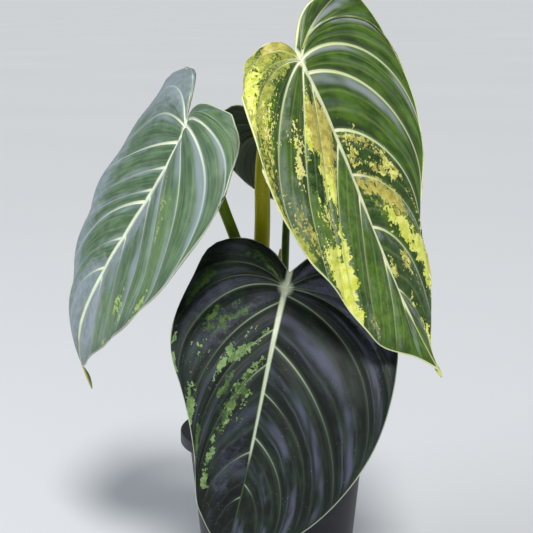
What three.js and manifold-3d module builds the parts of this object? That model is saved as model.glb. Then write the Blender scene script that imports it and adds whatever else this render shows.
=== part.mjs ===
// A potted variegated Philodendron melanochrysum: a plastic nursery pot filled with bark mix, a short
// stem, four heart-shaped leaves that hang from their petioles, and the sheath of the next leaf.
// Millimetres, +Z up, front towards -Y. The origin is the centre of the pot's underside.

import * as THREE from "three";
import { mergeVertices } from "three/addons/utils/BufferGeometryUtils.js";
import Module from "manifold-3d";

const GAP = 0.3; // clearance between neighbouring solids
const JOINT_GAP = 0.5; // clearance between a blade and the end of its petiole

// Pot
const POT_HEIGHT = 80;
const POT_BASE_RADIUS = 32;
const POT_TOP_RADIUS = 40.5;
const POT_WALL = 1.6;
const POT_FLOOR = 4.8; // top of the floor above the table
const POT_RECESS = 3; // how high the drained ring of the underside is lifted
const POT_BOSS_RADIUS = 9; // flat disc in the middle of the underside
const POT_FOOT = 3.5; // width of the foot ring
const POT_SLOPE = 1.5; // slanted edge between the recess and what stands on the table
const LIP_RADIUS = 44;
const LIP_HEIGHT = 6;
const LIP_CHAMFER = 0.8;
const DRAIN_HOLES = 6;
const DRAIN_RADIUS = 3.2;
const DRAIN_CIRCLE = 18.5;
const POT_SIDES = 48;

// Bark mix in the pot
const SOIL_LEVEL = 69;
const SOIL_MOUND = 3; // rise towards the stem
const SOIL_BUMPS = 1.1;
const SOIL_RINGS = 8;
const SOIL_SIDES = 36;
const CHIP_COUNT = 22;
const CHIP_LENGTH = [6, 12];
const CHIP_WIDTH = [4, 7];
const CHIP_THICKNESS = [3, 4.5];
const CHIP_SEED = 7;

// Stem
const STEM_PATH = [[0, 0, 52], [-0.5, 1, 75], [-1, 2, 98], [-2, 3, 121]];
const STEM_RADIUS = [6.5, 5]; // at the foot and at the top
const STEM_NODES = [76, 88, 99, 110]; // heights of the leaf scars
const STEM_NODE_SWELL = 0.8;
const ROOT_NUBS = [
  // foot on the stem, tip
  [[3, -2, 80], [9, -7, 73]],
  [[-4, -2, 79], [-10, -4, 71]],
  [[2, 5, 84], [8, 9, 74]],
];
const ROOT_RADIUS = [1.5, 1.1];

// Leaf blades
const BLADE_THICKNESS = 0.8;
const RIB_HALF_WIDTH = 1; // of the flat band along the midrib
const RIB_DEPTH = 1.5; // extra depth of the midrib underneath
const RIB_REACH = 2.6; // how far the midrib's depth runs out to each side
const VEIN_DEPTH = 0.35; // extra depth of the side veins underneath
const JOINT_HOLD = 4; // radius about the joint in which the thickness runs straight back
const PUFF = 1.3; // how far the blade rises between two side veins
const WAVE = 0.8; // rise and fall of the margin
const PUFF_FULL = 30; // distance from the tip at which the puffs reach full height
const DRIP_HALF_WIDTH = 0.9; // of the thin drip tip
const ACROSS = [0, 0.06, 0.2, 0.4, 0.62, 0.83, 1]; // steps from the midrib to the margin
const ROWS_PER_VEIN = 3;
const WIDTH_AT = [0.93, 0.82, 0.66, 0.48, 0.28, 0.08, -0.08]; // where half widths are given, of the length
const FOLD_AT = [-0.2, 0, 0.4, 1]; // where the folds are given, of the length
const CURL_AT = [-0.2, 0.35, 1];
const LOBE_EASE = 10; // how far from the middle a lobe's bend takes to start
const OUTLINE_STEPS = 8; // points between two given points of an outline
const MIDRIB_STEPS = 120;

// Each leaf: joint is where the petiole meets the blade. facing turns the blade about the vertical, 0 to
// the front and 90 to the right. side, out and roll are the midrib's lean to the blade's right, its lean
// outwards and the blade's twist, at the joint, the middle and the tip. fold lifts a half about the
// midrib, curl bends it over its width, lobe bends a lobe over its own length. width and lobes are the
// outline's half widths and lobe points. veins are the side veins from the tip to the lobes: margin
// place from tip to sinus, root on the midrib, bend. All angles in degrees.
const LEAVES = {
  left: {
    joint: [-39, -15, 218],
    facing: -52,
    length: 143,
    drip: 11,
    dripTurn: 45,
    side: [-24.5, -34.5, -28],
    out: [10.5, 13, -31.5],
    roll: [-18.5, -17, -1],
    half: 50,
    sinus: 3.5,
    sides: {
      left: {
        fold: [7, 11.5, 13.5, 1.5],
        curl: [-32.5, -23.5, -27],
        lobe: [-53.5, 22],
        width: [7, 17, 30, 41.5, 52.5, 59, 57],
        lobes: [[42, -14.5], [34, -15.5], [19, -14]],
        veins: [[0.1, 78, 30], [0.18, 60, 20], [0.23, 39, 28], [0.32, 32, 12], [0.36, 20, 16],
          [0.44, 7, 16], [0.5, 0, 42], [0.6, 0, 55], [0.79, 0, 35]],
      },
      right: {
        fold: [21.5, 34, 16.5, 4.5],
        curl: [-87, -26, -41],
        lobe: [0, 25],
        width: [7.5, 16.5, 31.5, 46.5, 60.5, 61, 47.5],
        lobes: [[35, -20.5], [29, -22], [12.5, -17]],
        veins: [[0.08, 82, 40], [0.16, 58, 50], [0.25, 36, 59], [0.3, 20, 59], [0.38, 1, 60],
          [0.48, 0, 71], [0.6, 0, 67], [0.7, 0, 60], [0.84, 0, 18]],
      },
    },
    petiole: {
      path: [[-5, 2, 99], [-11, -1, 134], [-17, -5, 163], [-25, -8, 186]],
      radius: [4, 2.9, 2.5, 2.9],
      colour: 0x6f7a1c,
    },
    colour: 0x4a6b4f,
  },
  right: {
    joint: [9, -45, 248.5],
    facing: 10,
    length: 143,
    drip: 4,
    dripTurn: -10,
    side: [28, 21.5, 31],
    out: [5, 5, 5],
    roll: [54.5, 62.5, 50.5],
    half: 55,
    sinus: 4.5,
    sides: {
      left: {
        fold: [-16, -2, -12, -15],
        curl: [-30, -20.5, -21.5],
        lobe: [-77, 18],
        width: [7.5, 24.5, 34.5, 46, 51, 47, 36],
        lobes: [[32.5, -18], [23, -20.5], [12, -21]],
        veins: [[0.05, 108, 0], [0.11, 88.5, -8], [0.155, 61, 10], [0.21, 37.5, 22], [0.26, 10.5, 9],
          [0.32, 3, 23], [0.365, 0, 50], [0.57, 0, 54], [0.72, 0, 30], [0.87, 0, 8]],
      },
      right: {
        fold: [20, 10.5, 13.5, -7],
        curl: [33.5, 28, 22.5],
        lobe: [5, 30],
        width: [6.5, 28.5, 31.5, 43.5, 52.5, 51, 43.5],
        lobes: [[33.5, -19.5], [25, -20], [15, -17.5]],
        veins: [[0.05, 104, 42], [0.12, 75.5, 50], [0.2, 52, 50], [0.29, 32, 52], [0.35, 6, 55.5],
          [0.47, 0, 61], [0.63, 0, 66], [0.81, 0, 13], [0.92, 0, 4]],
      },
    },
    petiole: {
      path: [[-3, 3, 116], [-7, 0, 142], [-6.5, -6, 176], [-6, -15, 205], [-1, -29, 234]],
      radius: [4.5, 3.6, 3.3, 3.4],
      colour: 0x9a9210,
    },
    colour: 0x5d7a3a,
  },
  front: {
    joint: [3.5, -40, 152.5],
    facing: 12,
    length: 121.5,
    drip: 4,
    dripTurn: 0,
    side: [-19.5, -12, -14],
    out: [20, 2, -14],
    roll: [-16, -10.5, -15],
    half: 52,
    sinus: 7,
    sides: {
      left: {
        fold: [-4, -8, 6, 8],
        curl: [-44.5, -46.5, -39.5],
        lobe: [-28.5, 30],
        width: [8, 17.5, 23, 31, 45.5, 48.5, 45.5],
        lobes: [[39, -20], [25.5, -22], [11.5, -17]],
        veins: [[0.05, 92, 35], [0.11, 71.5, 35], [0.14, 33, 29], [0.23, 18, 30], [0.33, 6, 30],
          [0.4, 0, 62], [0.53, 0, 55], [0.67, 0, 40], [0.85, 0, 15]],
      },
      right: {
        fold: [-2, 4, 15, 22.5],
        curl: [-17.5, -9, -7],
        lobe: [-18.5, 30],
        width: [10, 28, 42, 51, 54, 51.5, 44],
        lobes: [[35, -21.5], [21.5, -27], [10.5, -20.5]],
        veins: [[0.05, 86, 40], [0.1, 65, 38], [0.15, 45.5, 37], [0.25, 25, 27], [0.32, 3, 46],
          [0.46, 0, 45], [0.64, 0, 18], [0.78, 0, 15], [0.9, 0, 5]],
      },
    },
    petiole: {
      path: [[-1, -3, 88], [0, -11, 108], [2, -22, 132]],
      radius: [4, 2.9, 2.7, 2.9],
      colour: 0x55682a,
    },
    colour: 0x1f2b24,
  },
  back: {
    joint: [4, 12, 213.5],
    facing: 165,
    length: 105,
    drip: 4,
    dripTurn: 0,
    side: [-10, -15, -20],
    out: [60, 55, 50],
    roll: [-10, -10, -10],
    half: 40,
    sinus: 5,
    sides: {
      left: {
        fold: [10, 12, 8, 3],
        curl: [-40, -40, -25],
        lobe: [20, 22],
        width: [6, 15, 23, 30, 35, 36, 33],
        lobes: [[27, -16], [18, -21], [8, -16]],
        veins: [[0.06, 78, 35], [0.12, 56, 38], [0.19, 40, 40], [0.26, 25, 40], [0.33, 11, 45],
          [0.43, 0, 55], [0.56, 0, 50], [0.71, 0, 35], [0.87, 0, 15]],
      },
      right: {
        fold: [10, 12, 8, 3],
        curl: [-40, -40, -25],
        lobe: [20, 22],
        width: [6, 15, 23, 30, 35, 36, 33],
        lobes: [[27, -16], [18, -21], [8, -16]],
        veins: [[0.06, 76, 35], [0.12, 54, 38], [0.19, 37, 40], [0.26, 22, 40], [0.33, 9, 45],
          [0.43, 0, 55], [0.56, 0, 50], [0.71, 0, 35], [0.87, 0, 15]],
      },
    },
    petiole: {
      path: [[1, 5, 107], [2.5, 9, 132], [4, 10, 165], [4.5, 10, 198]],
      radius: [3.2, 2.1, 1.7, 2],
      colour: 0x5f7a1e,
    },
    colour: 0x2c3a22,
  },
};
const PETIOLE_SIDES = 10;
const PETIOLE_STEPS = 20;

// Sheath of the next leaf
const SHEATH_PATH = [[-2, 1, 112], [-1.5, -1, 130], [0.5, -1.5, 148], [1.5, -1.5, 163]];
const SHEATH_RADIUS = [3, 3.4, 2.8, 0.4];
const SHEATH_FLATNESS = 0.7;

const wasm = await Module();
wasm.setup();

const UP = new THREE.Vector3(0, 0, 1);
const radians = THREE.MathUtils.degToRad;
const vector = (values) => new THREE.Vector3(...values);
const ease = (t) => THREE.MathUtils.smoothstep(t, 0, 1);

// A seeded row of numbers from 0 to 1.
function seededRandom(seed) {
  let state = seed;
  return () => {
    state = (state * 16807) % 2147483647;
    return state / 2147483647;
  };
}

// The parabola through values at 0, 0.5 and 1.
function parabola([start, middle, end], t) {
  const slope = -3 * start + 4 * middle - end;
  return start + slope * t + (2 * start - 4 * middle + 2 * end) * t * t;
}

// Eases from value to value between the given places.
function eased(places, values, t) {
  let result = values[0];
  for (let i = 1; i < places.length; i += 1) {
    const step = (t - places[i - 1]) / (places[i] - places[i - 1]);
    result += (values[i] - values[i - 1]) * ease(step);
  }
  return result;
}

// Straight lines from value to value along 0 to values.length - 1.
function linear(values, t) {
  const i = Math.min(Math.floor(t), values.length - 2);
  return THREE.MathUtils.lerp(values[i], values[i + 1], t - i);
}

function meshFrom(points, triangles) {
  const geometry = new THREE.BufferGeometry();
  geometry.setAttribute("position", new THREE.Float32BufferAttribute(points.flatMap((p) => p.toArray()), 3));
  geometry.setIndex(triangles.flat());
  return geometry;
}

function solidFrom(geometry) {
  const bare = geometry.clone();
  bare.deleteAttribute("normal");
  bare.deleteAttribute("uv");
  const merged = mergeVertices(bare, 1e-3);
  const solid = new wasm.Manifold(
    new wasm.Mesh({
      numProp: 3,
      vertProperties: merged.attributes.position.array,
      triVerts: new Uint32Array(merged.index.array),
    }),
  );
  if (solid.volume() < 0) {
    throw new Error("a solid is inside out");
  }
  return solid;
}

function geometryFrom(solid) {
  const mesh = solid.getMesh();
  const geometry = new THREE.BufferGeometry();
  geometry.setAttribute("position", new THREE.Float32BufferAttribute(mesh.vertProperties, 3));
  geometry.setIndex(Array.from(mesh.triVerts));
  const flat = geometry.toNonIndexed();
  flat.computeVertexNormals();
  return flat;
}

// The largest of a solid's separate bodies.
function mainBody(solid) {
  const bodies = solid.decompose();
  return bodies.reduce((best, body) => (body.volume() > best.volume() ? body : best));
}

// A closed round bar along a smooth path, with a radius for each fraction of its length.
function bar({ path, radius, sides, steps, grow = 0, flatness = 1 }) {
  const curve = new THREE.CatmullRomCurve3(path.map(vector));
  const frames = curve.computeFrenetFrames(steps);
  const points = [];
  for (let i = 0; i <= steps; i += 1) {
    const along = i / steps;
    const r = radius(along) + grow;
    const overrun = i === 0 ? -grow : i === steps ? grow : 0;
    const centre = curve.getPointAt(along).addScaledVector(frames.tangents[i], overrun);
    for (let j = 0; j < sides; j += 1) {
      const turn = (j / sides) * 2 * Math.PI;
      const spoke = frames.normals[i].clone().multiplyScalar(Math.cos(turn) * r);
      spoke.addScaledVector(frames.binormals[i], Math.sin(turn) * r * flatness);
      points.push(spoke.add(centre));
    }
  }
  const first = points.push(curve.getPointAt(0).addScaledVector(frames.tangents[0], -grow)) - 1;
  const last = points.push(curve.getPointAt(1).addScaledVector(frames.tangents[steps], grow)) - 1;
  const triangles = [];
  for (let j = 0; j < sides; j += 1) {
    const next = (j + 1) % sides;
    for (let i = 0; i < steps; i += 1) {
      const a = i * sides + j;
      const b = i * sides + next;
      triangles.push([a, b, b + sides], [a, b + sides, a + sides]);
    }
    triangles.push([first, next, j], [last, steps * sides + j, steps * sides + next]);
  }
  return solidFrom(meshFrom(points, triangles));
}

// A blade: its midrib in space, and its surface over flat coordinates x across and y along, in mm.
class Blade {
  constructor(leaf) {
    this.leaf = leaf;
    this.reach = leaf.length + leaf.drip;
    const facing = radians(leaf.facing);
    const front = new THREE.Vector3(Math.sin(facing), -Math.cos(facing), 0);
    const right = new THREE.Vector3(Math.cos(facing), Math.sin(facing), 0);
    const step = this.reach / MIDRIB_STEPS;
    const centre = vector(leaf.joint);
    let before = null;
    this.midrib = [];
    for (let i = 0; i <= MIDRIB_STEPS; i += 1) {
      const t = (i * step) / leaf.length;
      const turn = leaf.dripTurn * Math.max(0, (i * step - leaf.length) / leaf.drip);
      const side = Math.tan(radians(parabola(leaf.side, t) + turn));
      const out = Math.tan(radians(parabola(leaf.out, t)));
      const along = right.clone().multiplyScalar(side).addScaledVector(front, out).sub(UP).normalize();
      if (before) {
        centre.addScaledVector(before, step / 2).addScaledVector(along, step / 2);
      }
      before = along;
      const face = front.clone().addScaledVector(along, -front.dot(along)).normalize();
      const across = new THREE.Vector3().crossVectors(face, along);
      const roll = radians(parabola(leaf.roll, t));
      this.midrib.push({
        centre: centre.clone(),
        along,
        face: face.clone().multiplyScalar(Math.cos(roll)).addScaledVector(across, Math.sin(roll)),
        across: across.clone().multiplyScalar(Math.cos(roll)).addScaledVector(face, -Math.sin(roll)),
      });
    }
    this.outlines = { left: this.outline(leaf.sides.left), right: this.outline(leaf.sides.right) };
  }

  // One half's margin from the tip to the sinus, as a curve of flat points.
  outline(half) {
    const { length, sinus } = this.leaf;
    const given = [
      [0, length],
      ...half.width.map((width, i) => [width, WIDTH_AT[i] * length]),
      ...half.lobes,
      [0, -sinus],
    ];
    const curve = new THREE.CatmullRomCurve3(given.map(([x, y]) => new THREE.Vector3(x, y, 0)), false);
    curve.curveType = "catmullrom";
    curve.tension = 0.5;
    curve.arcLengthDivisions = given.length * OUTLINE_STEPS * 4;
    return curve;
  }

  // The midrib's frame at y, by straight lines between its steps.
  frame(y) {
    const place = (THREE.MathUtils.clamp(y, 0, this.reach) / this.reach) * MIDRIB_STEPS;
    const i = Math.min(Math.floor(place), MIDRIB_STEPS - 1);
    const [a, b] = [this.midrib[i], this.midrib[i + 1]];
    const mixed = {};
    for (const key of Object.keys(a)) {
      mixed[key] = a[key].clone().lerp(b[key], place - i);
    }
    return mixed;
  }

  // A flat point in space. side is -1 for the left half and 1 for the right.
  surface(side, x, y) {
    const half = side < 0 ? this.leaf.sides.left : this.leaf.sides.right;
    const { centre, along, face, across } = this.frame(y);
    const back = Math.max(-y, 0);
    const bend = radians(half.lobe[0]) * ease(x / LOBE_EASE);
    if (back > 0 && Math.abs(bend) > 1e-6) {
      const bent = Math.min(back, half.lobe[1]);
      const turn = (bend * bent) / half.lobe[1];
      const radius = half.lobe[1] / bend;
      const rest = back - bent;
      centre.addScaledVector(along, -(Math.sin(turn) * radius + rest * Math.cos(turn)));
      centre.addScaledVector(face, (1 - Math.cos(turn)) * radius + rest * Math.sin(turn));
      face.multiplyScalar(Math.cos(turn)).addScaledVector(along, Math.sin(turn));
    } else {
      centre.addScaledVector(along, -back);
    }
    const t = y / this.leaf.length;
    const fold = radians(eased(FOLD_AT, half.fold, t));
    const curl = radians(eased(CURL_AT, half.curl, t)) / this.leaf.half;
    const end = fold + curl * x;
    const over = Math.abs(curl) < 1e-6 ? x * Math.cos(fold) : (Math.sin(end) - Math.sin(fold)) / curl;
    const lift = Math.abs(curl) < 1e-6 ? x * Math.sin(fold) : (Math.cos(fold) - Math.cos(end)) / curl;
    return centre.addScaledVector(across, over * side).addScaledVector(face, lift);
  }

  // The flat point at place p along the veins, -1 to 0 on the drip tip and a whole number at each vein,
  // and place w from the midrib to the margin.
  flat(side, p, w) {
    const half = side < 0 ? this.leaf.sides.left : this.leaf.sides.right;
    if (p <= 0) {
      const x = (RIB_HALF_WIDTH + (DRIP_HALF_WIDTH - RIB_HALF_WIDTH * 0.5) * w) * Math.sqrt(1 + p);
      return new THREE.Vector3(x, this.leaf.length - p * this.leaf.drip, 0);
    }
    const margin = linear([0, ...half.veins.map((vein) => vein[0]), 1], p);
    const root = linear([this.leaf.length, ...half.veins.map((vein) => vein[1]), 0], p);
    const bend = radians(linear([0, ...half.veins.map((vein) => vein[2]), 0], p));
    const end = (side < 0 ? this.outlines.left : this.outlines.right).getPointAt(margin);
    end.x = Math.max(end.x, p < 1 ? RIB_HALF_WIDTH * 0.5 + DRIP_HALF_WIDTH : 0);
    const start = new THREE.Vector3(0, root, 0);
    const chord = end.clone().sub(start);
    const handle = chord.length() / 3 / Math.cos(bend / 2) ** 2;
    const heading = Math.atan2(chord.x, chord.y);
    const leave = new THREE.Vector3(Math.sin(heading + bend), Math.cos(heading + bend), 0);
    const arrive = new THREE.Vector3(Math.sin(heading - bend), Math.cos(heading - bend), 0);
    const vein = new THREE.CubicBezierCurve3(
      start,
      start.clone().addScaledVector(leave, handle),
      end.clone().addScaledVector(arrive, -handle),
      end,
    );
    const point = vein.getPoint(w);
    point.x = Math.max(point.x, 0) + RIB_HALF_WIDTH * (1 - w) ** 2;
    return point;
  }

  // One half as rows of flat points, from the tip's row to the sinus row.
  rows(side) {
    const half = side < 0 ? this.leaf.sides.left : this.leaf.sides.right;
    const places = [-1, -0.8, -0.4, 0];
    for (let i = 1; i <= (half.veins.length + 1) * ROWS_PER_VEIN; i += 1) {
      places.push(i / ROWS_PER_VEIN);
    }
    return places.map((p) =>
      ACROSS.map((w) => {
        const { x, y } = this.flat(side, p, w);
        const between = Math.abs(Math.sin(Math.PI * p));
        const tip = THREE.MathUtils.clamp((this.leaf.length - y) / PUFF_FULL, 0, 1);
        const last = p >= half.veins.length + 1 ? 0 : 1;
        const puff = PUFF * between * Math.sqrt(Math.sin(Math.PI * w)) * tip * last;
        const wave = WAVE * Math.sin(Math.PI * p * 0.9 + this.leaf.facing) * w ** 4 * tip * last;
        const rib = RIB_DEPTH * tip * Math.exp(-((x / RIB_REACH) ** 2)) * (y > -RIB_REACH ? 1 : 0);
        const vein = VEIN_DEPTH * (1 - between) * (1 - w);
        return {
          y,
          point: this.surface(side, x, y),
          hold: 1 - ease((Math.hypot(x, y) - JOINT_HOLD) / JOINT_HOLD),
          lift: puff + wave,
          depth: BLADE_THICKNESS + (w === 0 || w === 1 ? 0 : vein) + rib,
        };
      }),
    );
  }

  // The blade as a closed solid.
  solid() {
    const points = [];
    const triangles = [];
    const seen = new Map();
    const place = (entry) => {
      const key = entry.point.toArray().map((value) => Math.round(value * 500)).join();
      if (!seen.has(key)) {
        seen.set(key, points.push(entry) - 1);
      }
      return seen.get(key);
    };
    const add = (a, b, c, side) => {
      if (a !== b && b !== c && c !== a) {
        triangles.push(side < 0 ? [a, c, b] : [a, b, c]);
      }
    };
    const inner = [];
    for (const side of [-1, 1]) {
      const grid = this.rows(side).map((row) => row.map(place));
      const edge = [...grid.map((row) => row[0]), ...grid.at(-1)];
      inner.push(edge.filter((entry, i) => entry !== edge[i - 1]));
      for (let i = 1; i < grid.length; i += 1) {
        for (let j = 1; j < ACROSS.length; j += 1) {
          add(grid[i - 1][j - 1], grid[i - 1][j], grid[i][j], side);
          add(grid[i - 1][j - 1], grid[i][j], grid[i][j - 1], side);
        }
      }
    }
    zip(points, inner, (a, b, c) => add(a, b, c, -1));
    return thicken(points, triangles, this.midrib[0].face);
  }

  // What a solid has behind the blade's underside at the joint, with a clearance.
  behind(solid) {
    const { centre, face } = this.midrib[0];
    const back = face.clone().negate();
    return solid.trimByPlane(back.toArray(), centre.dot(back) + BLADE_THICKNESS + RIB_DEPTH + JOINT_GAP);
  }
}

// Fills the band between two rows of points that both run down from the tip to the sinus.
function zip(points, [left, right], add) {
  let [i, j] = [0, 0];
  while (i < left.length - 1 || j < right.length - 1) {
    const goLeft = j === right.length - 1 || (i < left.length - 1 && points[left[i + 1]].y > points[right[j + 1]].y);
    if (goLeft) {
      add(left[i], left[i + 1], right[j]);
      i += 1;
    } else {
      add(left[i], right[j + 1], right[j]);
      j += 1;
    }
  }
}

// Gives a sheet of triangles its lift and depth along its normals, and closes its rim.
function thicken(points, triangles, face) {
  const sheet = meshFrom(points.map((entry) => entry.point), triangles);
  sheet.computeVertexNormals();
  const normals = points.map((entry, i) => {
    const normal = new THREE.Vector3().fromBufferAttribute(sheet.attributes.normal, i);
    return normal.lerp(face, entry.hold).normalize();
  });
  const top = points.map((entry, i) => entry.point.clone().addScaledVector(normals[i], entry.lift));
  const bottom = points.map((entry, i) => top[i].clone().addScaledVector(normals[i], -entry.depth));
  const edges = new Map();
  for (const triangle of triangles) {
    for (let k = 0; k < 3; k += 1) {
      const [a, b] = [triangle[k], triangle[(k + 1) % 3]];
      if (!edges.delete(`${b},${a}`)) {
        edges.set(`${a},${b}`, [a, b]);
      }
    }
  }
  const count = points.length;
  const under = triangles.map(([a, b, c]) => [a + count, c + count, b + count]);
  const rim = [...edges.values()].flatMap(([a, b]) => [[a, a + count, b + count], [a, b + count, b]]);
  return solidFrom(meshFrom([...top, ...bottom], [...triangles, ...under, ...rim]));
}

function potOuterRadius(z) {
  return THREE.MathUtils.lerp(POT_BASE_RADIUS, POT_TOP_RADIUS, z / POT_HEIGHT);
}

function makePot() {
  const lipFoot = POT_HEIGHT - LIP_HEIGHT;
  const footInside = POT_BASE_RADIUS - POT_FOOT;
  const profile = [
    [0, 0],
    [POT_BOSS_RADIUS, 0],
    [POT_BOSS_RADIUS + POT_SLOPE, POT_RECESS],
    [footInside - POT_SLOPE, POT_RECESS],
    [footInside, 0],
    [POT_BASE_RADIUS, 0],
    [potOuterRadius(lipFoot), lipFoot],
    [LIP_RADIUS - LIP_CHAMFER, lipFoot],
    [LIP_RADIUS, lipFoot + LIP_CHAMFER],
    [LIP_RADIUS, POT_HEIGHT - LIP_CHAMFER],
    [LIP_RADIUS - LIP_CHAMFER, POT_HEIGHT],
    [potOuterRadius(POT_HEIGHT) - POT_WALL, POT_HEIGHT],
    [potOuterRadius(POT_FLOOR) - POT_WALL, POT_FLOOR],
    [0, POT_FLOOR],
  ];
  const turned = new THREE.LatheGeometry(profile.map(([r, z]) => new THREE.Vector2(r, z)), POT_SIDES);
  let solid = solidFrom(turned.rotateX(Math.PI / 2));
  for (let i = 0; i < DRAIN_HOLES; i += 1) {
    const turn = (i / DRAIN_HOLES) * 2 * Math.PI;
    const drill = new THREE.CylinderGeometry(DRAIN_RADIUS, DRAIN_RADIUS, POT_FLOOR * 3, 16);
    drill.rotateX(Math.PI / 2);
    drill.translate(Math.cos(turn) * DRAIN_CIRCLE, Math.sin(turn) * DRAIN_CIRCLE, 0);
    solid = solid.subtract(solidFrom(drill));
  }
  return solid;
}

function soilHeight(x, y) {
  const out = Math.hypot(x, y) / POT_TOP_RADIUS;
  const bumps = Math.sin(x * 0.41 + 1.3) * Math.cos(y * 0.37) + 0.6 * Math.sin(x * 0.83 - y * 0.71);
  return SOIL_LEVEL + SOIL_MOUND * (1 - out) ** 2 + (SOIL_BUMPS * bumps) / 1.6;
}

// A lump of bark, sunk into the surface by half.
function makeChip(random) {
  const between = ([low, high]) => low + (high - low) * random();
  const chip = new THREE.IcosahedronGeometry(0.5, 0);
  chip.scale(between(CHIP_LENGTH), between(CHIP_WIDTH), between(CHIP_THICKNESS));
  chip.rotateX((random() - 0.5) * 0.9);
  chip.rotateZ(random() * 2 * Math.PI);
  const out = POT_TOP_RADIUS * (0.28 + 0.52 * Math.sqrt(random()));
  const turn = random() * 2 * Math.PI;
  const [x, y] = [Math.cos(turn) * out, Math.sin(turn) * out];
  chip.translate(x, y, soilHeight(x, y) + 0.3);
  return solidFrom(chip);
}

function makeSoil(stemSpace) {
  const points = [new THREE.Vector3(0, 0, soilHeight(0, 0))];
  const triangles = [];
  const ring = (i, j) => 1 + (i - 1) * SOIL_SIDES + (j % SOIL_SIDES);
  const bottom = POT_FLOOR + GAP;
  for (let i = 1; i <= SOIL_RINGS + 1; i += 1) {
    const low = i > SOIL_RINGS;
    const out = low ? 1 : i / SOIL_RINGS;
    const edge = potOuterRadius(low ? bottom : SOIL_LEVEL) - POT_WALL - GAP * 1.5;
    for (let j = 0; j < SOIL_SIDES; j += 1) {
      const turn = (j / SOIL_SIDES) * 2 * Math.PI;
      const [x, y] = [Math.cos(turn) * edge * out, Math.sin(turn) * edge * out];
      points.push(new THREE.Vector3(x, y, low ? bottom : soilHeight(x, y)));
    }
  }
  const foot = points.push(new THREE.Vector3(0, 0, bottom)) - 1;
  for (let j = 0; j < SOIL_SIDES; j += 1) {
    triangles.push([0, ring(1, j), ring(1, j + 1)]);
    for (let i = 1; i <= SOIL_RINGS; i += 1) {
      triangles.push([ring(i, j), ring(i + 1, j), ring(i + 1, j + 1)]);
      triangles.push([ring(i, j), ring(i + 1, j + 1), ring(i, j + 1)]);
    }
    triangles.push([foot, ring(SOIL_RINGS + 1, j + 1), ring(SOIL_RINGS + 1, j)]);
  }
  let solid = solidFrom(meshFrom(points, triangles));
  const random = seededRandom(CHIP_SEED);
  for (let i = 0; i < CHIP_COUNT; i += 1) {
    solid = solid.add(makeChip(random));
  }
  return mainBody(solid.subtract(stemSpace));
}

function makeStem(grow = 0) {
  const heightAt = (along) => THREE.MathUtils.lerp(STEM_PATH[0][2], STEM_PATH.at(-1)[2], along);
  const swell = (z) =>
    STEM_NODES.reduce((sum, node) => sum + STEM_NODE_SWELL * Math.exp(-(((z - node) / 1.8) ** 2)), 0);
  let solid = bar({
    path: STEM_PATH,
    radius: (along) => THREE.MathUtils.lerp(...STEM_RADIUS, along) + swell(heightAt(along)),
    sides: 14,
    steps: 26,
    grow,
  });
  for (const [foot, tip] of ROOT_NUBS) {
    const nub = bar({
      path: [foot, tip],
      radius: (along) => THREE.MathUtils.lerp(...ROOT_RADIUS, along),
      sides: 7,
      steps: 2,
      grow,
    });
    solid = solid.add(nub);
  }
  return solid;
}

// A petiole from inside the stem to just past its blade's underside.
function makePetiole(leaf, blade, grow = 0) {
  const { centre, face } = blade.frame(0);
  const behind = centre.clone().addScaledVector(face, -7).addScaledVector(UP, -4);
  const beyond = centre.clone().addScaledVector(face, 2).addScaledVector(UP, 0.5);
  const { path, radius } = leaf.petiole;
  return bar({
    path: [...path, behind.toArray(), beyond.toArray()],
    radius: (along) => linear(radius, along * (radius.length - 1)),
    sides: PETIOLE_SIDES,
    steps: PETIOLE_STEPS,
    grow,
  });
}

function makeSheath() {
  return bar({
    path: SHEATH_PATH,
    radius: (along) => linear(SHEATH_RADIUS, along * (SHEATH_RADIUS.length - 1)),
    sides: 10,
    steps: 12,
    flatness: SHEATH_FLATNESS,
  });
}

const plant = new THREE.Group();

function add(name, solid, colour, roughness = 0.6) {
  const material = new THREE.MeshStandardMaterial({ color: colour, roughness, metalness: 0 });
  const mesh = new THREE.Mesh(geometryFrom(solid), material);
  mesh.name = name;
  plant.add(mesh);
}

const stemSpace = makeStem(GAP);
add("pot", makePot(), 0x141416, 0.45);
add("soil", makeSoil(stemSpace), 0x4a3524, 0.95);
add("stem", makeStem(), 0x5d6a33);

let taken = stemSpace;
for (const name of ["front", "left", "back", "right"]) {
  const leaf = LEAVES[name];
  const blade = new Blade(leaf);
  const petiole = makePetiole(leaf, blade);
  add(`leaf_${name}_blade`, blade.solid(), leaf.colour);
  add(`leaf_${name}_petiole`, mainBody(blade.behind(petiole.subtract(taken))), leaf.petiole.colour);
  taken = taken.add(makePetiole(leaf, blade, GAP));
}
add("new_leaf_sheath", mainBody(makeSheath().subtract(taken)), 0xb7bd5a);

export default plant;
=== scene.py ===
# %% [markdown]
# # A potted, variegated Philodendron melanochrysum
# The plant is four long heart-shaped leaves that hang from their stalks, a short stem, the spike of
# the next leaf, bark mix and a plastic nursery pot. The packed model gives the main shapes in metres.
# This lesson loads it first. Everything made here has to stay inside it.

# %% Load the packed model
import math

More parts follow.
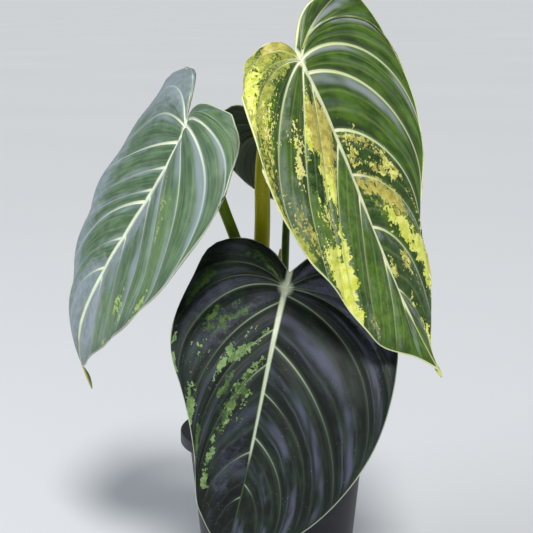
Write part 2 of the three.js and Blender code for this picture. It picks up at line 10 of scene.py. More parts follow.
import bpy
import numpy as np
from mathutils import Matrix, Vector


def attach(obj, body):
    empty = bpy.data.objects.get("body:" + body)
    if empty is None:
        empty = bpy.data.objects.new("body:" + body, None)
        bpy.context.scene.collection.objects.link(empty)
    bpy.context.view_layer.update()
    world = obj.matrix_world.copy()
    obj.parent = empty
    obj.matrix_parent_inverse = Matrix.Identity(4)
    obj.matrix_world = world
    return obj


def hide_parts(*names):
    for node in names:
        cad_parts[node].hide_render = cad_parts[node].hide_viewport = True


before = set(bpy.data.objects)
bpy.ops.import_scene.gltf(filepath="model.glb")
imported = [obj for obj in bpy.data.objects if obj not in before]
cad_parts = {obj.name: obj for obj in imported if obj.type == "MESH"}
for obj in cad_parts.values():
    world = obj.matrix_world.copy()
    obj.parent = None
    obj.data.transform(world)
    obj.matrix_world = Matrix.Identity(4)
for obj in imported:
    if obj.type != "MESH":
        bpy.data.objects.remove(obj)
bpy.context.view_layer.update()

MM = 0.001
ROOT = "root"
print("nodes:", sorted(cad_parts))

# %% [markdown]
# ## The camera
# The photograph looks slightly down on the plant, from about arm's length. The distance, the tilt and the
# lens here are estimates, since one photograph doesn't tell them. They were chosen together with the
# leaves' shapes, so that each leaf lands where the photograph has it.

# %% Camera
CAMERA_TARGET = Vector((-0.0047, 0, 0.1547))
CAMERA_DISTANCE = 0.7
CAMERA_TILT = math.radians(10)
LENS = 105.07  # for a sensor 36 mm wide


def make_camera():
    data = bpy.data.cameras.new("camera")
    data.lens = LENS
    data.sensor_width = 36
    data.clip_start, data.clip_end = 0.05, 400
    camera = bpy.data.objects.new("camera", data)
    back = Vector((0, -math.cos(CAMERA_TILT), math.sin(CAMERA_TILT)))
    camera.location = CAMERA_TARGET + back * CAMERA_DISTANCE
    camera.rotation_euler = (math.pi / 2 - CAMERA_TILT, 0, 0)
    bpy.context.scene.collection.objects.link(camera)
    bpy.context.scene.camera = camera
    return camera


print("camera at", [round(v, 4) for v in make_camera().location])

# %% [markdown]
# ## Materials as expressions
# A leaf's colours come from sums and products of simple patterns. Written with one call for every Math
# node that is hard to read, so a small class wraps a socket and lets Python's own operators add the
# nodes. Colours and vectors don't go through Math nodes, which would turn them grey.

# %% A socket that can be added and multiplied


class Wire:
    """An output socket of a finish. Sums, products and comparisons with it add Math nodes."""

    def __init__(self, finish, socket):
        self.finish = finish
        self.socket = socket

    def maths(self, operation, *values):
        inputs = dict(enumerate(values))
        return self.finish.node("Math", {"operation": operation}, inputs)

    def __add__(self, other):
        return self.maths("ADD", self, other)

    def __radd__(self, other):
        return self.maths("ADD", other, self)

    def __sub__(self, other):
        return self.maths("SUBTRACT", self, other)

    def __rsub__(self, other):
        return self.maths("SUBTRACT", other, self)

    def __mul__(self, other):
        return self.maths("MULTIPLY", self, other)

    def __rmul__(self, other):
        return self.maths("MULTIPLY", other, self)

    def __pow__(self, other):
        return self.maths("POWER", self, other)

    def __rpow__(self, other):
        return self.maths("POWER", other, self)

    def __gt__(self, other):
        return self.maths("GREATER_THAN", self, other)

    def __lt__(self, other):
        return self.maths("LESS_THAN", self, other)

    def __abs__(self):
        return self.maths("ABSOLUTE", self)

    def lesser(self, other):
        return self.maths("MINIMUM", self, other)

    def greater(self, other):
        return self.maths("MAXIMUM", self, other)

    def fraction(self):
        return self.maths("FRACT", self)

    def nearest_whole(self):
        return self.maths("ROUND", self)


print("operators:", [name for name in vars(Wire) if name.startswith("__") and name != "__init__"])

# %% [markdown]
# The finish is a Principled shader and the nodes behind it. One method makes any node: its settings
# come first, because some of them change which sockets the node has. What is the same all over a
# surface, such as the sheen, is set on the shader's own socket.

# %% A finish


def colour(red, green, blue):
    """A colour given as it looks on a screen, 0 to 255, as the light values that a shader works with."""
    values = [v / 255 for v in (red, green, blue)]
    return tuple(v / 12.92 if v < 0.04045 else ((v + 0.055) / 1.055) ** 2.4 for v in values)


class Finish:
    def __init__(self, name, **constants):
        self.material = bpy.data.materials.new(name)
        self.material.use_nodes = True
        self.tree = self.material.node_tree
        self.shader = self.tree.nodes["Principled BSDF"]
        self.set(**constants)

    def set(self, **sockets):
        """Sets or links sockets of the shader: Base_Color=..., Roughness=..."""
        for name, value in sockets.items():
            self.feed(self.shader.inputs[name.replace("_", " ")], value)

    def feed(self, socket, value):
        if isinstance(value, Wire):
            self.tree.links.new(value.socket, socket)
        elif socket.type == "RGBA":
            socket.default_value = (*value[:3], 1)
        else:
            socket.default_value = value

    def node(self, kind, settings=None, inputs=None, output=0):
        """Any node. output is one socket's number, or several."""
        made = self.tree.nodes.new("ShaderNode" + kind)
        for name, value in (settings or {}).items():
            setattr(made, name, value)
        for name, value in (inputs or {}).items():
            self.feed(made.inputs[name], value)
        if isinstance(output, int):
            return Wire(self, made.outputs[output])
        return [Wire(self, made.outputs[i]) for i in output]

    def attribute(self, name):
        """A vector that the mesh carries, whole and as its three numbers."""
        whole = self.node("Attribute", {"attribute_name": name}, output=1)
        return whole, *self.node("SeparateXYZ", {}, {0: whole}, output=(0, 1, 2))

    def position(self):
        """The place on the piece, in metres."""
        return self.node("TexCoord", output=3)

    def stretched(self, vector, x, y, z, shift=(0, 0, 0)):
        """A vector with each of its numbers multiplied, and then shifted."""
        return self.node("VectorMath", {"operation": "MULTIPLY_ADD"}, {0: vector, 1: (x, y, z), 2: shift})

    def noise(self, vector, scale=1, detail=2, roughness=0.5, output=0):
        inputs = {"Vector": vector, "Scale": scale, "Detail": detail, "Roughness": roughness}
        return self.node("TexNoise", {}, inputs, output)

    def rise(self, value, start, stop):
        """0 before start and 1 after stop, with a soft step between. start may be above stop."""
        inputs = {0: value, 1: start, 2: stop}
        return self.node("MapRange", {"interpolation_type": "SMOOTHSTEP"}, inputs)

    def mix(self, first, second, share):
        return self.node("Mix", {"data_type": "RGBA"}, {0: share, 6: first, 7: second}, output=2)

    def bump(self, height, millimetres, strength):
        inputs = {"Height": height, "Distance": millimetres * MM, "Strength": strength}
        return self.node("Bump", {}, inputs)


print("finish helpers ready")

# %% [markdown]
# ## Light and floor
# The photograph is lit from the front and the left. Here a wide, soft sun and one large softbox come
# from there, and a pale sky fills the shadows. Hard lamps would be simpler to place, but they would draw
# sharp shadows that the photograph doesn't have.

# %% Light
SKY = colour(214, 220, 228)
SKY_STRENGTH = 0.4
LOOK_AT = (0, 0, 0.15)  # the middle of the plant


def make_lamp(name, kind, place, energy, tint, **settings):
    data = bpy.data.lights.new(name, kind)
    data.energy = energy
    data.color = tint
    for key, value in settings.items():
        setattr(data, key, value)
    lamp = bpy.data.objects.new(name, data)
    lamp.location = place
    lamp.rotation_euler = (Vector(LOOK_AT) - lamp.location).to_track_quat("-Z", "Y").to_euler()
    bpy.context.scene.collection.objects.link(lamp)
    return lamp


def make_sky():
    world = bpy.data.worlds.new("sky")
    world.use_nodes = True
    background = world.node_tree.nodes["Background"]
    background.inputs["Color"].default_value = (*SKY, 1)
    background.inputs["Strength"].default_value = SKY_STRENGTH
    bpy.context.scene.world = world


lamps = [
    make_lamp("key", "SUN", place=(0.2, -2.2, 2.5), energy=3.1, tint=(1.0, 0.985, 0.96),
              angle=math.radians(14)),
    make_lamp("softbox", "AREA", place=(-0.9, -0.5, 0.8), energy=6, tint=(0.9, 0.96, 1.0),
              shape="RECTANGLE", size=0.7, size_y=0.7),
]
make_sky()
bpy.context.scene.view_settings.view_transform = "Standard"
bpy.context.scene.view_settings.look = "None"
print("lamps:", [lamp.name for lamp in lamps])

# %% [markdown] The floor could be a plane, but a plane's corners would show against the sky. A disc
# has none.

# %% Floor
FLOOR_RADIUS = 150  # metres
FLOOR_SIDES = 96
PAPER, PAPER_PALE = colour(208, 210, 213), colour(215, 217, 219)


def make_floor():
    turns = [2 * math.pi * i / FLOOR_SIDES for i in range(FLOOR_SIDES)]
    rim = [(FLOOR_RADIUS * math.cos(a), FLOOR_RADIUS * math.sin(a), 0) for a in turns]
    mesh = bpy.data.meshes.new("floor")
    mesh.from_pydata(rim, [], [tuple(range(FLOOR_SIDES))])
    floor = bpy.data.objects.new("floor", mesh)
    bpy.context.scene.collection.objects.link(floor)
    paper = Finish("floor_paper", Roughness=0.8)
    cloud = paper.noise(paper.position(), scale=1.5, detail=1)
    paper.set(Base_Color=paper.mix(PAPER, PAPER_PALE, cloud))
    mesh.materials.append(paper.material)


make_floor()
print("floor radius in metres:", FLOOR_RADIUS)

# %% [markdown]
# ## Making a piece
# Every piece is a mesh of its own that stands for one node of the packed model, rides with it, and
# takes the finishes that it is handed. One helper does all of that. The pieces' lengths are in
# millimetres, as on a drawing, and become metres here.

# %% A piece


def make_piece(name, points, faces, node, finishes, indices=None, attributes=None):
    mesh = bpy.data.meshes.new(name)
    mesh.from_pydata((np.asarray(points, float) * MM).tolist(), [], faces)
    for finish in finishes:
        mesh.materials.append(finish.material)
    if indices is not None:
        mesh.polygons.foreach_set("material_index", np.asarray(indices, np.int32))
    for key, values in (attributes or {}).items():
        layer = mesh.attributes.new(key, "FLOAT_VECTOR", "POINT")
        layer.data.foreach_set("vector", np.asarray(values, np.float32).ravel())
    mesh.shade_smooth()
    mesh.validate()
    piece = bpy.data.objects.new(name, mesh)
    bpy.context.scene.collection.objects.link(piece)
    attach(piece, ROOT)
    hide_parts(node)
    print(name, "has", len(mesh.vertices), "points and", len(mesh.polygons), "faces")
    return piece


# %% [markdown]
# ## Smooth curves
# Stalks and leaf outlines are given by a few points each. A Catmull-Rom spline passes through all of
# them, which makes it easy to draw. Walking it by its length keeps the points evenly spaced.

# %% Curves


def spline(points, per=24, power=0.0):
    """A smooth curve through points. power 0 is the even kind, 0.5 the one that never overshoots."""
    given = np.array(points, float)
    held = np.vstack([2 * given[0] - given[1], given, 2 * given[-1] - given[-2]])
    found = []
    t = np.arange(per)[:, None] / per
    for a, b, c, d in zip(held, held[1:], held[2:], held[3:]):
        before, here, after = (np.linalg.norm(v) ** power for v in (b - a, c - b, d - c))
        leave = ((b - a) / before - (c - a) / (before + here) + (c - b) / here) * here
        reach = ((c - b) / here - (d - b) / (here + after) + (d - c) / after) * here
        square = -3 * b + 3 * c - 2 * leave - reach
        cube = 2 * b - 2 * c + leave + reach
        found.append(b + leave * t + square * t**2 + cube * t**3)
    return np.vstack([*found, given[-1:]])


def walked(curve, shares):
    """The points at these shares of a curve's length."""
    steps = np.linalg.norm(np.diff(curve, axis=0), axis=1)
    length = np.concatenate([[0], np.cumsum(steps)])
    return np.stack([np.interp(shares, length / length[-1], column) for column in curve.T], -1)


def ease(t):
    t = np.clip(t, 0, 1)
    return t * t * (3 - 2 * t)


def parabola(values, t):
    start, middle, end = values
    return start + (-3 * start + 4 * middle - end) * t + (2 * start - 4 * middle + 2 * end) * t * t


def eased(places, values, t):
    result = np.full(np.shape(t), float(values[0]))
    for i in range(1, len(places)):
        result += (values[i] - values[i - 1]) * ease((t - places[i - 1]) / (places[i] - places[i - 1]))
    return result


def unit(vectors):
    return vectors / np.maximum(np.linalg.norm(vectors, axis=-1, keepdims=True), 1e-9)


print("a curve of", len(spline([(0, 0), (1, 0), (1, 1)])), "points")

# %% [markdown]
# ## The four leaves as numbers
# A leaf blade is a flat heart that is bent in space. The bend is its midrib, which leans and rolls, and
# the two halves, which fold up from it and curl over their width. The flat heart is a list of half
# widths from tip to stalk and a few points for each lobe. The side veins run from the midrib to the
# margin: each has a place on the margin, a root on the midrib, a bend, and a strength.

# %% Where a leaf is measured, and the left leaf
# joint: where the stalk meets the blade. facing: the blade's turn about the vertical. drip: length of the
# thin tip, and drip_turn its lean. side, out and roll: the midrib's lean and the twist, in degrees, at
# the stalk, the middle and the tip. half: the half width that a curl is given for. sinus: how far behind
# the joint the notch between the lobes ends. ridge: how far the midrib stands up. -1 is the left half.
# lobe: bend and length of the bend. Stalks: points and radii.
WIDTH_AT = (0.93, 0.82, 0.66, 0.48, 0.28, 0.08, -0.08)  # shares of the length where widths are given
FOLD_AT = (-0.2, 0, 0.4, 1)
CURL_AT = (-0.2, 0.35, 1)

LEFT_LEAF = dict(
    joint=(-39, -15, 218), facing=-52, length=143, drip=17, drip_turn=8,
    side=(-24.5, -34.5, -28), out=(10.5, 13, -31.5), roll=(-18.5, -17, -1), half=50, sinus=3.5, ridge=1.7,
    halves={
        -1: dict(
            fold=(7, 11.5, 13.5, 1.5), curl=(-32.5, -23.5, -27), lobe=(-53.5, 22),
            width=(7, 17, 30, 41.5, 52.5, 59, 57), lobes=((42, -14.5), (34, -15.5), (19, -14)),
            veins=((0.10, 78, 30, 0.55), (0.18, 60, 20, 0.25), (0.23, 39, 28, 0.95), (0.32, 32, 12, 0.25),
                   (0.36, 20, 16, 0.35), (0.44, 7, 16, 1), (0.50, 0, 42, 0.75), (0.60, 0, 55, 0.6),
                   (0.79, 0, 35, 0.35)),
        ),
        1: dict(
            fold=(21.5, 34, 16.5, 4.5), curl=(-87, -26, -41), lobe=(0, 25),
            width=(7.5, 16.5, 31.5, 46.5, 60.5, 61, 47.5), lobes=((35, -20.5), (29, -22), (12.5, -17)),
            veins=((0.08, 82, 40, 0.45), (0.16, 58, 50, 0.3), (0.25, 36, 59, 0.6), (0.30, 20, 59, 0.45),
                   (0.38, 1, 60, 0.8), (0.48, 0, 71, 1.1), (0.60, 0, 67, 1), (0.70, 0, 60, 0.6),
                   (0.84, 0, 18, 0.3)),
        ),
    },
    stalk=((-5, 2, 99), (-11, -1, 134), (-17, -5, 163), (-25, -8, 186)), stalk_radius=(4, 2.9, 2.5, 2.9),
)
print("veins of the left leaf:", [len(half["veins"]) for half in LEFT_LEAF["halves"].values()])

# %% [markdown]
# The right leaf is as long as the left one, but it faces the camera, and it is rolled by more than 50
# degrees about its midrib.

# %% The right leaf's measures
RIGHT_LEAF = dict(
    joint=(9, -45, 248.5), facing=10, length=143, drip=4, drip_turn=-10,
    side=(28, 21.5, 31), out=(5, 5, 5), roll=(54.5, 62.5, 50.5), half=55, sinus=4.5, ridge=0.5,
    halves={
        -1: dict(
            fold=(-16, -2, -12, -15), curl=(-30, -20.5, -21.5), lobe=(-77, 18),
            width=(7.5, 24.5, 34.5, 46, 51, 47, 36), lobes=((32.5, -18), (23, -20.5), (12, -21)),
            veins=((0.05, 108, 0, 0.3), (0.11, 88.5, -8, 0.5), (0.155, 61, 10, 0.45),
                   (0.21, 37.5, 22, 0.65), (0.26, 10.5, 9, 0.35), (0.32, 3, 23, 0.8), (0.365, 0, 50, 0.9),
                   (0.57, 0, 54, 0.8), (0.72, 0, 30, 0.5), (0.87, 0, 8, 0.45)),
        ),
        1: dict(
            fold=(20, 10.5, 13.5, -7), curl=(33.5, 28, 22.5), lobe=(5, 30),
            width=(6.5, 28.5, 31.5, 43.5, 52.5, 51, 43.5), lobes=((33.5, -19.5), (25, -20), (15, -17.5)),
            veins=((0.05, 104, 42, 0.4), (0.12, 75.5, 50, 0.85), (0.20, 52, 50, 0.6), (0.29, 32, 52, 1.1),
                   (0.35, 6, 55.5, 1.2), (0.47, 0, 61, 1.2), (0.63, 0, 66, 1.1), (0.81, 0, 13, 0.8),
                   (0.92, 0, 4, 0.6)),
        ),
    },
    stalk=((-3, 3, 116), (-7, 0, 142), (-6.5, -6, 176), (-6, -15, 205), (-1, -29, 234)),
    stalk_radius=(4.5, 3.6, 3.3, 3.4),
)
print("veins of the right leaf:", [len(half["veins"]) for half in RIGHT_LEAF["halves"].values()])

# %% [markdown]
# The front leaf hangs lowest, in front of the pot, and is shorter than the left and the right one. Its
# left half curls back more than its right.

# %% The front leaf's measures
FRONT_LEAF = dict(
    joint=(3.5, -40, 152.5), facing=12, length=121.5, drip=4, drip_turn=0,
    side=(-19.5, -12, -14), out=(20, 2, -14), roll=(-16, -10.5, -15), half=52, sinus=7, ridge=0.6,
    halves={
        -1: dict(
            fold=(-4, -8, 6, 8), curl=(-44.5, -46.5, -39.5), lobe=(-28.5, 30),
            width=(8, 17.5, 23, 31, 45.5, 48.5, 45.5), lobes=((39, -20), (25.5, -22), (11.5, -17)),
            veins=((0.05, 92, 35, 0.1), (0.11, 71.5, 35, 0.35), (0.14, 33, 29, 0.3), (0.23, 18, 30, 0.4),
                   (0.33, 6, 30, 0.85), (0.40, 0, 62, 1), (0.53, 0, 55, 0.6), (0.67, 0, 40, 0.8),
                   (0.85, 0, 15, 0.5)),
        ),
        1: dict(
            fold=(-2, 4, 15, 22.5), curl=(-17.5, -9, -7), lobe=(-18.5, 30),
            width=(10, 28, 42, 51, 54, 51.5, 44), lobes=((35, -21.5), (21.5, -27), (10.5, -20.5)),
            veins=((0.05, 86, 40, 0.15), (0.10, 65, 38, 0.65), (0.15, 45.5, 37, 0.2), (0.25, 25, 27, 1),
                   (0.32, 3, 46, 0.7), (0.46, 0, 45, 0.5), (0.64, 0, 18, 0.7), (0.78, 0, 15, 0.5),
                   (0.90, 0, 5, 0.5)),
        ),
    },
    stalk=((-1, -3, 88), (0, -11, 108), (2, -22, 132)), stalk_radius=(4, 2.9, 2.7, 2.9),
)
print("veins of the front leaf:", [len(half["veins"]) for half in FRONT_LEAF["halves"].values()])

# %% [markdown]
# Only a strip of the back leaf can be seen, so its two halves are alike. Their veins meet the midrib a
# little apart from one another, as they do on the other leaves.

# %% The back leaf's measures
BACK_HALF = dict(
    fold=(10, 12, 8, 3), curl=(-40, -40, -25), lobe=(20, 22),
    width=(6, 15, 23, 30, 35, 36, 33), lobes=((27, -16), (18, -21), (8, -16)),
    veins=((0.06, 78, 35, 0.5), (0.12, 56, 38, 0.8), (0.19, 40, 40, 0.9), (0.26, 25, 40, 1),
           (0.33, 11, 45, 1), (0.43, 0, 55, 1), (0.56, 0, 50, 0.8), (0.71, 0, 35, 0.6), (0.87, 0, 15, 0.5)),
)
BACK_ROOTS = (76, 54, 37, 22, 9)  # of the right half's first veins
BACK_LEAF = dict(
    joint=(4, 12, 213.5), facing=165, length=105, drip=4, drip_turn=0,
    side=(-10, -15, -20), out=(60, 55, 50), roll=(-10, -10, -10), half=40, sinus=5, ridge=0.3,
    halves={
        -1: BACK_HALF,
        1: dict(BACK_HALF, veins=tuple(
            (vein[0], BACK_ROOTS[i] if i < len(BACK_ROOTS) else 0, *vein[2:])
            for i, vein in enumerate(BACK_HALF["veins"]))),
    },
    stalk=((1, 5, 107), (2.5, 9, 132), (4, 10, 165), (4.5, 10, 198)), stalk_radius=(3.2, 2.1, 1.7, 2),
)
LEAVES = {"left": LEFT_LEAF, "right": RIGHT_LEAF, "front": FRONT_LEAF, "back": BACK_LEAF}
print("leaf lengths in mm:", {name: leaf["length"] for name, leaf in LEAVES.items()})

# %% [markdown]
# ## Bending a flat leaf
# The blade could be sculpted, but then veins, colours and edges would have no common ground. Instead it
# is worked out, beginning with the midrib in space: at each step it has a direction, a direction across
# the blade, and one that the blade faces.

# %% Midrib and outline
MIDRIB_STEPS = 120


class Blade:
    """A leaf's midrib in space and the flat outlines of its two halves."""

    def __init__(self, leaf):
        self.leaf = leaf
        self.reach = leaf["length"] + leaf["drip"]
        facing = math.radians(leaf["facing"])
        self.front = np.array([math.sin(facing), -math.cos(facing), 0])
        right = np.array([math.cos(facing), math.sin(facing), 0])
        self.y = np.linspace(0, self.reach, MIDRIB_STEPS + 1)
        t = np.minimum(self.y / leaf["length"], 1)
        turn = leaf["drip_turn"] * np.maximum(0, (self.y - leaf["length"]) / leaf["drip"])
        side = np.tan(np.radians(parabola(leaf["side"], t) + turn))[:, None]
        out = np.tan(np.radians(parabola(leaf["out"], t)))[:, None]
        self.along = unit(right * side + self.front * out - np.array([0, 0, 1.0]))
        steps = (self.along[1:] + self.along[:-1]) / 2 * (self.y[1] - self.y[0])
        self.centre = np.vstack([np.zeros(3), np.cumsum(steps, 0)]) + np.array(leaf["joint"])
        face = unit(self.front - (self.along @ self.front)[:, None] * self.along)
        across = np.cross(face, self.along)
        roll = np.radians(parabola(leaf["roll"], t))[:, None]
        self.face = face * np.cos(roll) + across * np.sin(roll)
        self.across = across * np.cos(roll) - face * np.sin(roll)
        self.outlines = {side: self.outline(half) for side, half in leaf["halves"].items()}

    def outline(self, half):
        """One half's margin from the tip to the sinus between the lobes, as flat points."""
        length, sinus = self.leaf["length"], self.leaf["sinus"]
        given = [(0, length)] + [(w, at * length) for w, at in zip(half["width"], WIDTH_AT)]
        return spline([*given, *half["lobes"], (0, -sinus)], per=32)


blades = {name: Blade(leaf) for name, leaf in LEAVES.items()}
print("left leaf's tip in mm:", blades["left"].centre[-1].round(1))

# %% [markdown]
# Next, a flat point from its place. Each side vein is a Bezier curve from its root on the midrib to its
# place on the margin, and between two veins root, end and bend go over from one to the other. So a row of
# points always runs like a vein, and the drip tip is a last narrow strip.

# %% Flat points
RIB_HALF_WIDTH = 0.3  # of the band that joins the two halves
DRIP_HALF_WIDTH = 0.9
DRIP_START = 0.5


def flat_points(blade, side, p, w):
    """Flat points for p, counted in veins from the tip (rows), and w, from midrib to margin (columns)."""
    veins, length = blade.leaf["halves"][side]["veins"], blade.leaf["length"]
    places = np.arange(len(veins) + 2)
    held = np.maximum(p, 0)
    margin = np.interp(held, places, [0, *(v[0] for v in veins), 1])
    root = np.interp(held, places, [length, *(v[1] for v in veins), 0])
    bend = np.radians(np.interp(held, places, [0, *(v[2] for v in veins), 0]))
    end = walked(blade.outlines[side], margin)
    low = np.where(p < 1, DRIP_START + DRIP_HALF_WIDTH, 0)
    end[:, 0] = np.maximum(end[:, 0], low)
    start = np.stack([np.zeros_like(root), root], -1)
    chord = end - start
    handle = (np.hypot(*chord.T) / 3 / np.cos(bend / 2) ** 2)[:, None]
    heading = np.arctan2(chord[:, 0], chord[:, 1])
    leave = np.stack([np.sin(heading + bend), np.cos(heading + bend)], -1)
    arrive = np.stack([np.sin(heading - bend), np.cos(heading - bend)], -1)
    t = w[None, :, None]
    points = (1 - t) ** 3 * start[:, None] + 3 * t * (1 - t) ** 2 * (start + leave * handle)[:, None]
    points = points + 3 * t**2 * (1 - t) * (end - arrive * handle)[:, None] + t**3 * end[:, None]
    points[..., 0] = np.maximum(points[..., 0], 0) + RIB_HALF_WIDTH * (1 - w) ** 2
    drip = p <= 0
    span = (RIB_HALF_WIDTH + (DRIP_START + DRIP_HALF_WIDTH - RIB_HALF_WIDTH) * w)[None, :]
    points[drip, :, 0] = span * np.sqrt(1 + p[drip])[:, None]
    points[drip, :, 1] = (length - p[drip] * blade.leaf["drip"])[:, None]
    return points


ends = flat_points(blades["left"], -1, np.array([1.0, 2.0]), np.array([0.0, 1.0]))
print("first two veins of the left leaf, flat:", ends.round(1).tolist())

# %% [markdown]
# Then that point in space. A half folds up from the midrib and curls over its width, which is an arc. The
# lobes, which lie behind the joint, bend over another arc, most of them backwards.

# %% Points in space
LOBE_BLEND = 10  # distance from the midrib over which a lobe's bend comes in
STRAIGHT = 1e-6  # stands for no bend at all, because the arcs divide by their angle


def in_space(blade, side, x, y):
    """Flat points in space."""
    half = blade.leaf["halves"][side]
    clamped = np.clip(y, 0, blade.reach)
    pick = lambda table: np.stack([np.interp(clamped, blade.y, column) for column in table.T], -1)
    centre, along, face, across = map(pick, (blade.centre, blade.along, blade.face, blade.across))
    back = np.maximum(-y, 0)
    bend = np.radians(half["lobe"][0]) * ease(x / LOBE_BLEND)
    bend = np.where(np.abs(bend) < STRAIGHT, STRAIGHT, bend)
    bent = np.minimum(back, half["lobe"][1])
    turn = bend * bent / half["lobe"][1]
    radius = half["lobe"][1] / bend
    rest = back - bent
    centre = centre - along * (np.sin(turn) * radius + rest * np.cos(turn))[..., None]
    centre = centre + face * ((1 - np.cos(turn)) * radius + rest * np.sin(turn))[..., None]
    face = face * np.cos(turn)[..., None] + along * np.sin(turn)[..., None]
    t = y / blade.leaf["length"]
    fold = np.radians(eased(FOLD_AT, half["fold"], t))
    curl = np.radians(eased(CURL_AT, half["curl"], t)) / blade.leaf["half"]
    curl = np.where(np.abs(curl) < STRAIGHT, STRAIGHT, curl)
    end = fold + curl * x
    over = (np.sin(end) - np.sin(fold)) / curl
    lift = (np.cos(fold) - np.cos(end)) / curl
    return centre + across * (over * side)[..., None] + face * lift[..., None]


print("joint of the left leaf in mm:", in_space(blades["left"], -1, np.zeros(1), np.zeros(1)).round(1))

# %% [markdown]
# ## From a bent sheet to a leaf
# A real blade isn't smooth between its veins: it puffs up between them, sinks along them, and its margin
# waves a little. The sheet gets these heights along its own normals, and then a second layer underneath,
# with the midrib and the veins standing out as they do on the back of a real leaf. Rows lie closer
# together beside each vein, where the shape turns fastest.

# %% Relief and thickness
ROW_STEPS = (0, 0.045, 0.1, 0.2, 0.35, 0.5, 0.65, 0.8, 0.9, 0.955)
BY_THE_MIDRIB = (0, 0.007, 0.014, 0.022, 0.032, 0.045, 0.062)
BY_THE_MARGIN = (0.94, 0.965, 0.985, 1)
ACROSS = np.array([*BY_THE_MIDRIB, *np.linspace(0.09, 0.91, 30), *BY_THE_MARGIN])
DRIP_ROWS = (-1, -0.9, -0.75, -0.55, -0.35, -0.15)
PUFF, WAVE, WAVE_RATE = 1.3, 0.8, 0.9  # two heights, and half waves from one vein to the next
PUFF_FULL = 30  # distance from the tip at which the puffs reach their full height
CHANNEL, CHANNEL_REACH = 0.28, 0.7  # depth and half width of the channel over each vein
RIDGE_REACH, RIDGE_START = 1.3, 6  # the midrib on top: half width, and where it has its full height
THICKNESS, EDGE_THICKNESS, EDGE_REACH = 0.55, 0.3, 1.4
RIB_DEPTH, RIB_REACH, RIB_START, RIB_RISE = 1.3, 2.2, 4, 5  # the midrib underneath, from behind the joint
VEIN_DEPTH, VEIN_REACH = 0.4, 0.8  # the side veins underneath
JOINT_HOLD = 4  # round the joint the thickness runs straight back
DRIP_BODY = 0.07  # of its length
END_STRENGTH = 0.3  # of the tip and the sinus, as if they were veins
VEIN_POINTS = 24  # on a vein, to measure distances from


def distance_to(points, line):
    """How far each flat point is from a line of points."""
    flat = points.reshape(-1, 2)
    best = np.full(len(flat), 1e9)
    for a, b in zip(line, line[1:]):
        step = b - a
        t = np.clip(((flat - a) @ step) / max(step @ step, 1e-9), 0, 1)
        best = np.minimum(best, np.linalg.norm(flat - a - t[:, None] * step, axis=1))
    return best.reshape(points.shape[:-1])


def bell(distance, reach):
    """1 at no distance, and falling off like a bell."""
    return np.exp(-((distance / reach) ** 2))


def half_sheet(blade, side):
    """One half as a grid of points with what its relief and its finish need."""
    veins = blade.leaf["halves"][side]["veins"]
    p = np.array([*DRIP_ROWS, *(i + s for i in range(len(veins) + 1) for s in ROW_STEPS), len(veins) + 1])
    w = ACROSS
    flat = flat_points(blade, side, p, w)
    x, y = flat[..., 0], flat[..., 1]
    lines = flat_points(blade, side, np.arange(1.0, len(veins) + 1), np.linspace(0, 1, VEIN_POINTS))
    to_vein = np.min([distance_to(flat, line) for line in lines], axis=0)
    to_rim = distance_to(flat, blade.outlines[side])
    given = [END_STRENGTH, *(v[3] for v in veins), END_STRENGTH]
    strength = np.interp(p, np.arange(len(given)), given)[:, None] * np.ones_like(x)
    between = np.abs(np.sin(np.pi * p))[:, None] * np.ones_like(x)
    tip = np.clip((blade.leaf["length"] - y) / PUFF_FULL, 0, 1)
    last = (p < len(veins) + 1)[:, None]
    lift = PUFF * between * np.sqrt(np.sin(np.pi * np.clip(w, 0, 1)).clip(0)) * tip * last
    wave = np.sin(np.pi * p * WAVE_RATE + blade.leaf["facing"])[:, None]
    lift = lift + WAVE * wave * w**4 * tip * last
    lift = lift - CHANNEL * bell(to_vein, CHANNEL_REACH) * strength * (1 - w) ** 0.5 * tip
    ridge = blade.leaf["ridge"] * bell(x, RIDGE_REACH) * tip
    lift = lift + ridge * (1 - y / blade.reach) * ease(y / RIDGE_START)
    edge = ease(to_rim / EDGE_REACH)
    depth = EDGE_THICKNESS + (THICKNESS - EDGE_THICKNESS) * edge
    depth = depth + VEIN_DEPTH * bell(to_vein, VEIN_REACH) * (1 - w) * strength * edge
    depth = depth + RIB_DEPTH * tip * bell(x, RIB_REACH) * ease((y + RIB_START) / RIB_RISE) * edge
    drip = np.sin(np.pi * np.clip(-p, 0, 1))[:, None] * (1 - w**2)
    depth = depth + DRIP_BODY * blade.leaf["drip"] * drip
    signed = side * np.maximum(p, 0)[:, None] * np.ones_like(x)
    return dict(
        point=in_space(blade, side, x, y), lift=lift, depth=depth, flat_y=y,
        hold=1 - ease((np.hypot(x, y) - JOINT_HOLD) / JOINT_HOLD),
        place=np.stack([signed, w[None, :] * np.ones_like(x), np.zeros_like(x)], -1),
        plan=np.stack([side * x, y, to_rim], -1),
        veins=np.stack([to_vein, strength, tip], -1),
    )


print("rows a vein:", len(ROW_STEPS), " steps across:", len(ACROSS))

# %% [markdown]
# The two halves are woven into one closed mesh: equal points become one, a narrow band joins the halves
# along the midrib, and a rim closes the gap between the top and the underside.

# %% Weaving a blade
KEYS = ("point", "lift", "depth", "flat_y", "hold", "place", "plan", "veins")
WELD_STEPS = 500  # to a millimetre: points that fall on the same step become one


def welded(halves):
    """All points of both halves with equal ones as one, and each half's grid of point numbers."""
    rows = {key: np.concatenate([h[key].reshape(h["lift"].size, -1) for h in halves]) for key in KEYS}
    rounded = np.round(rows["point"] * WELD_STEPS).astype(np.int64)
    _, first, number = np.unique(rounded, axis=0, return_index=True, return_inverse=True)
    number = number.reshape(-1)
    grids, start = [], 0
    for half in halves:
        size = half["lift"].size
        grids.append(number[start:start + size].reshape(half["lift"].shape))
        start += size
    return {key: value[first] for key, value in rows.items()}, grids


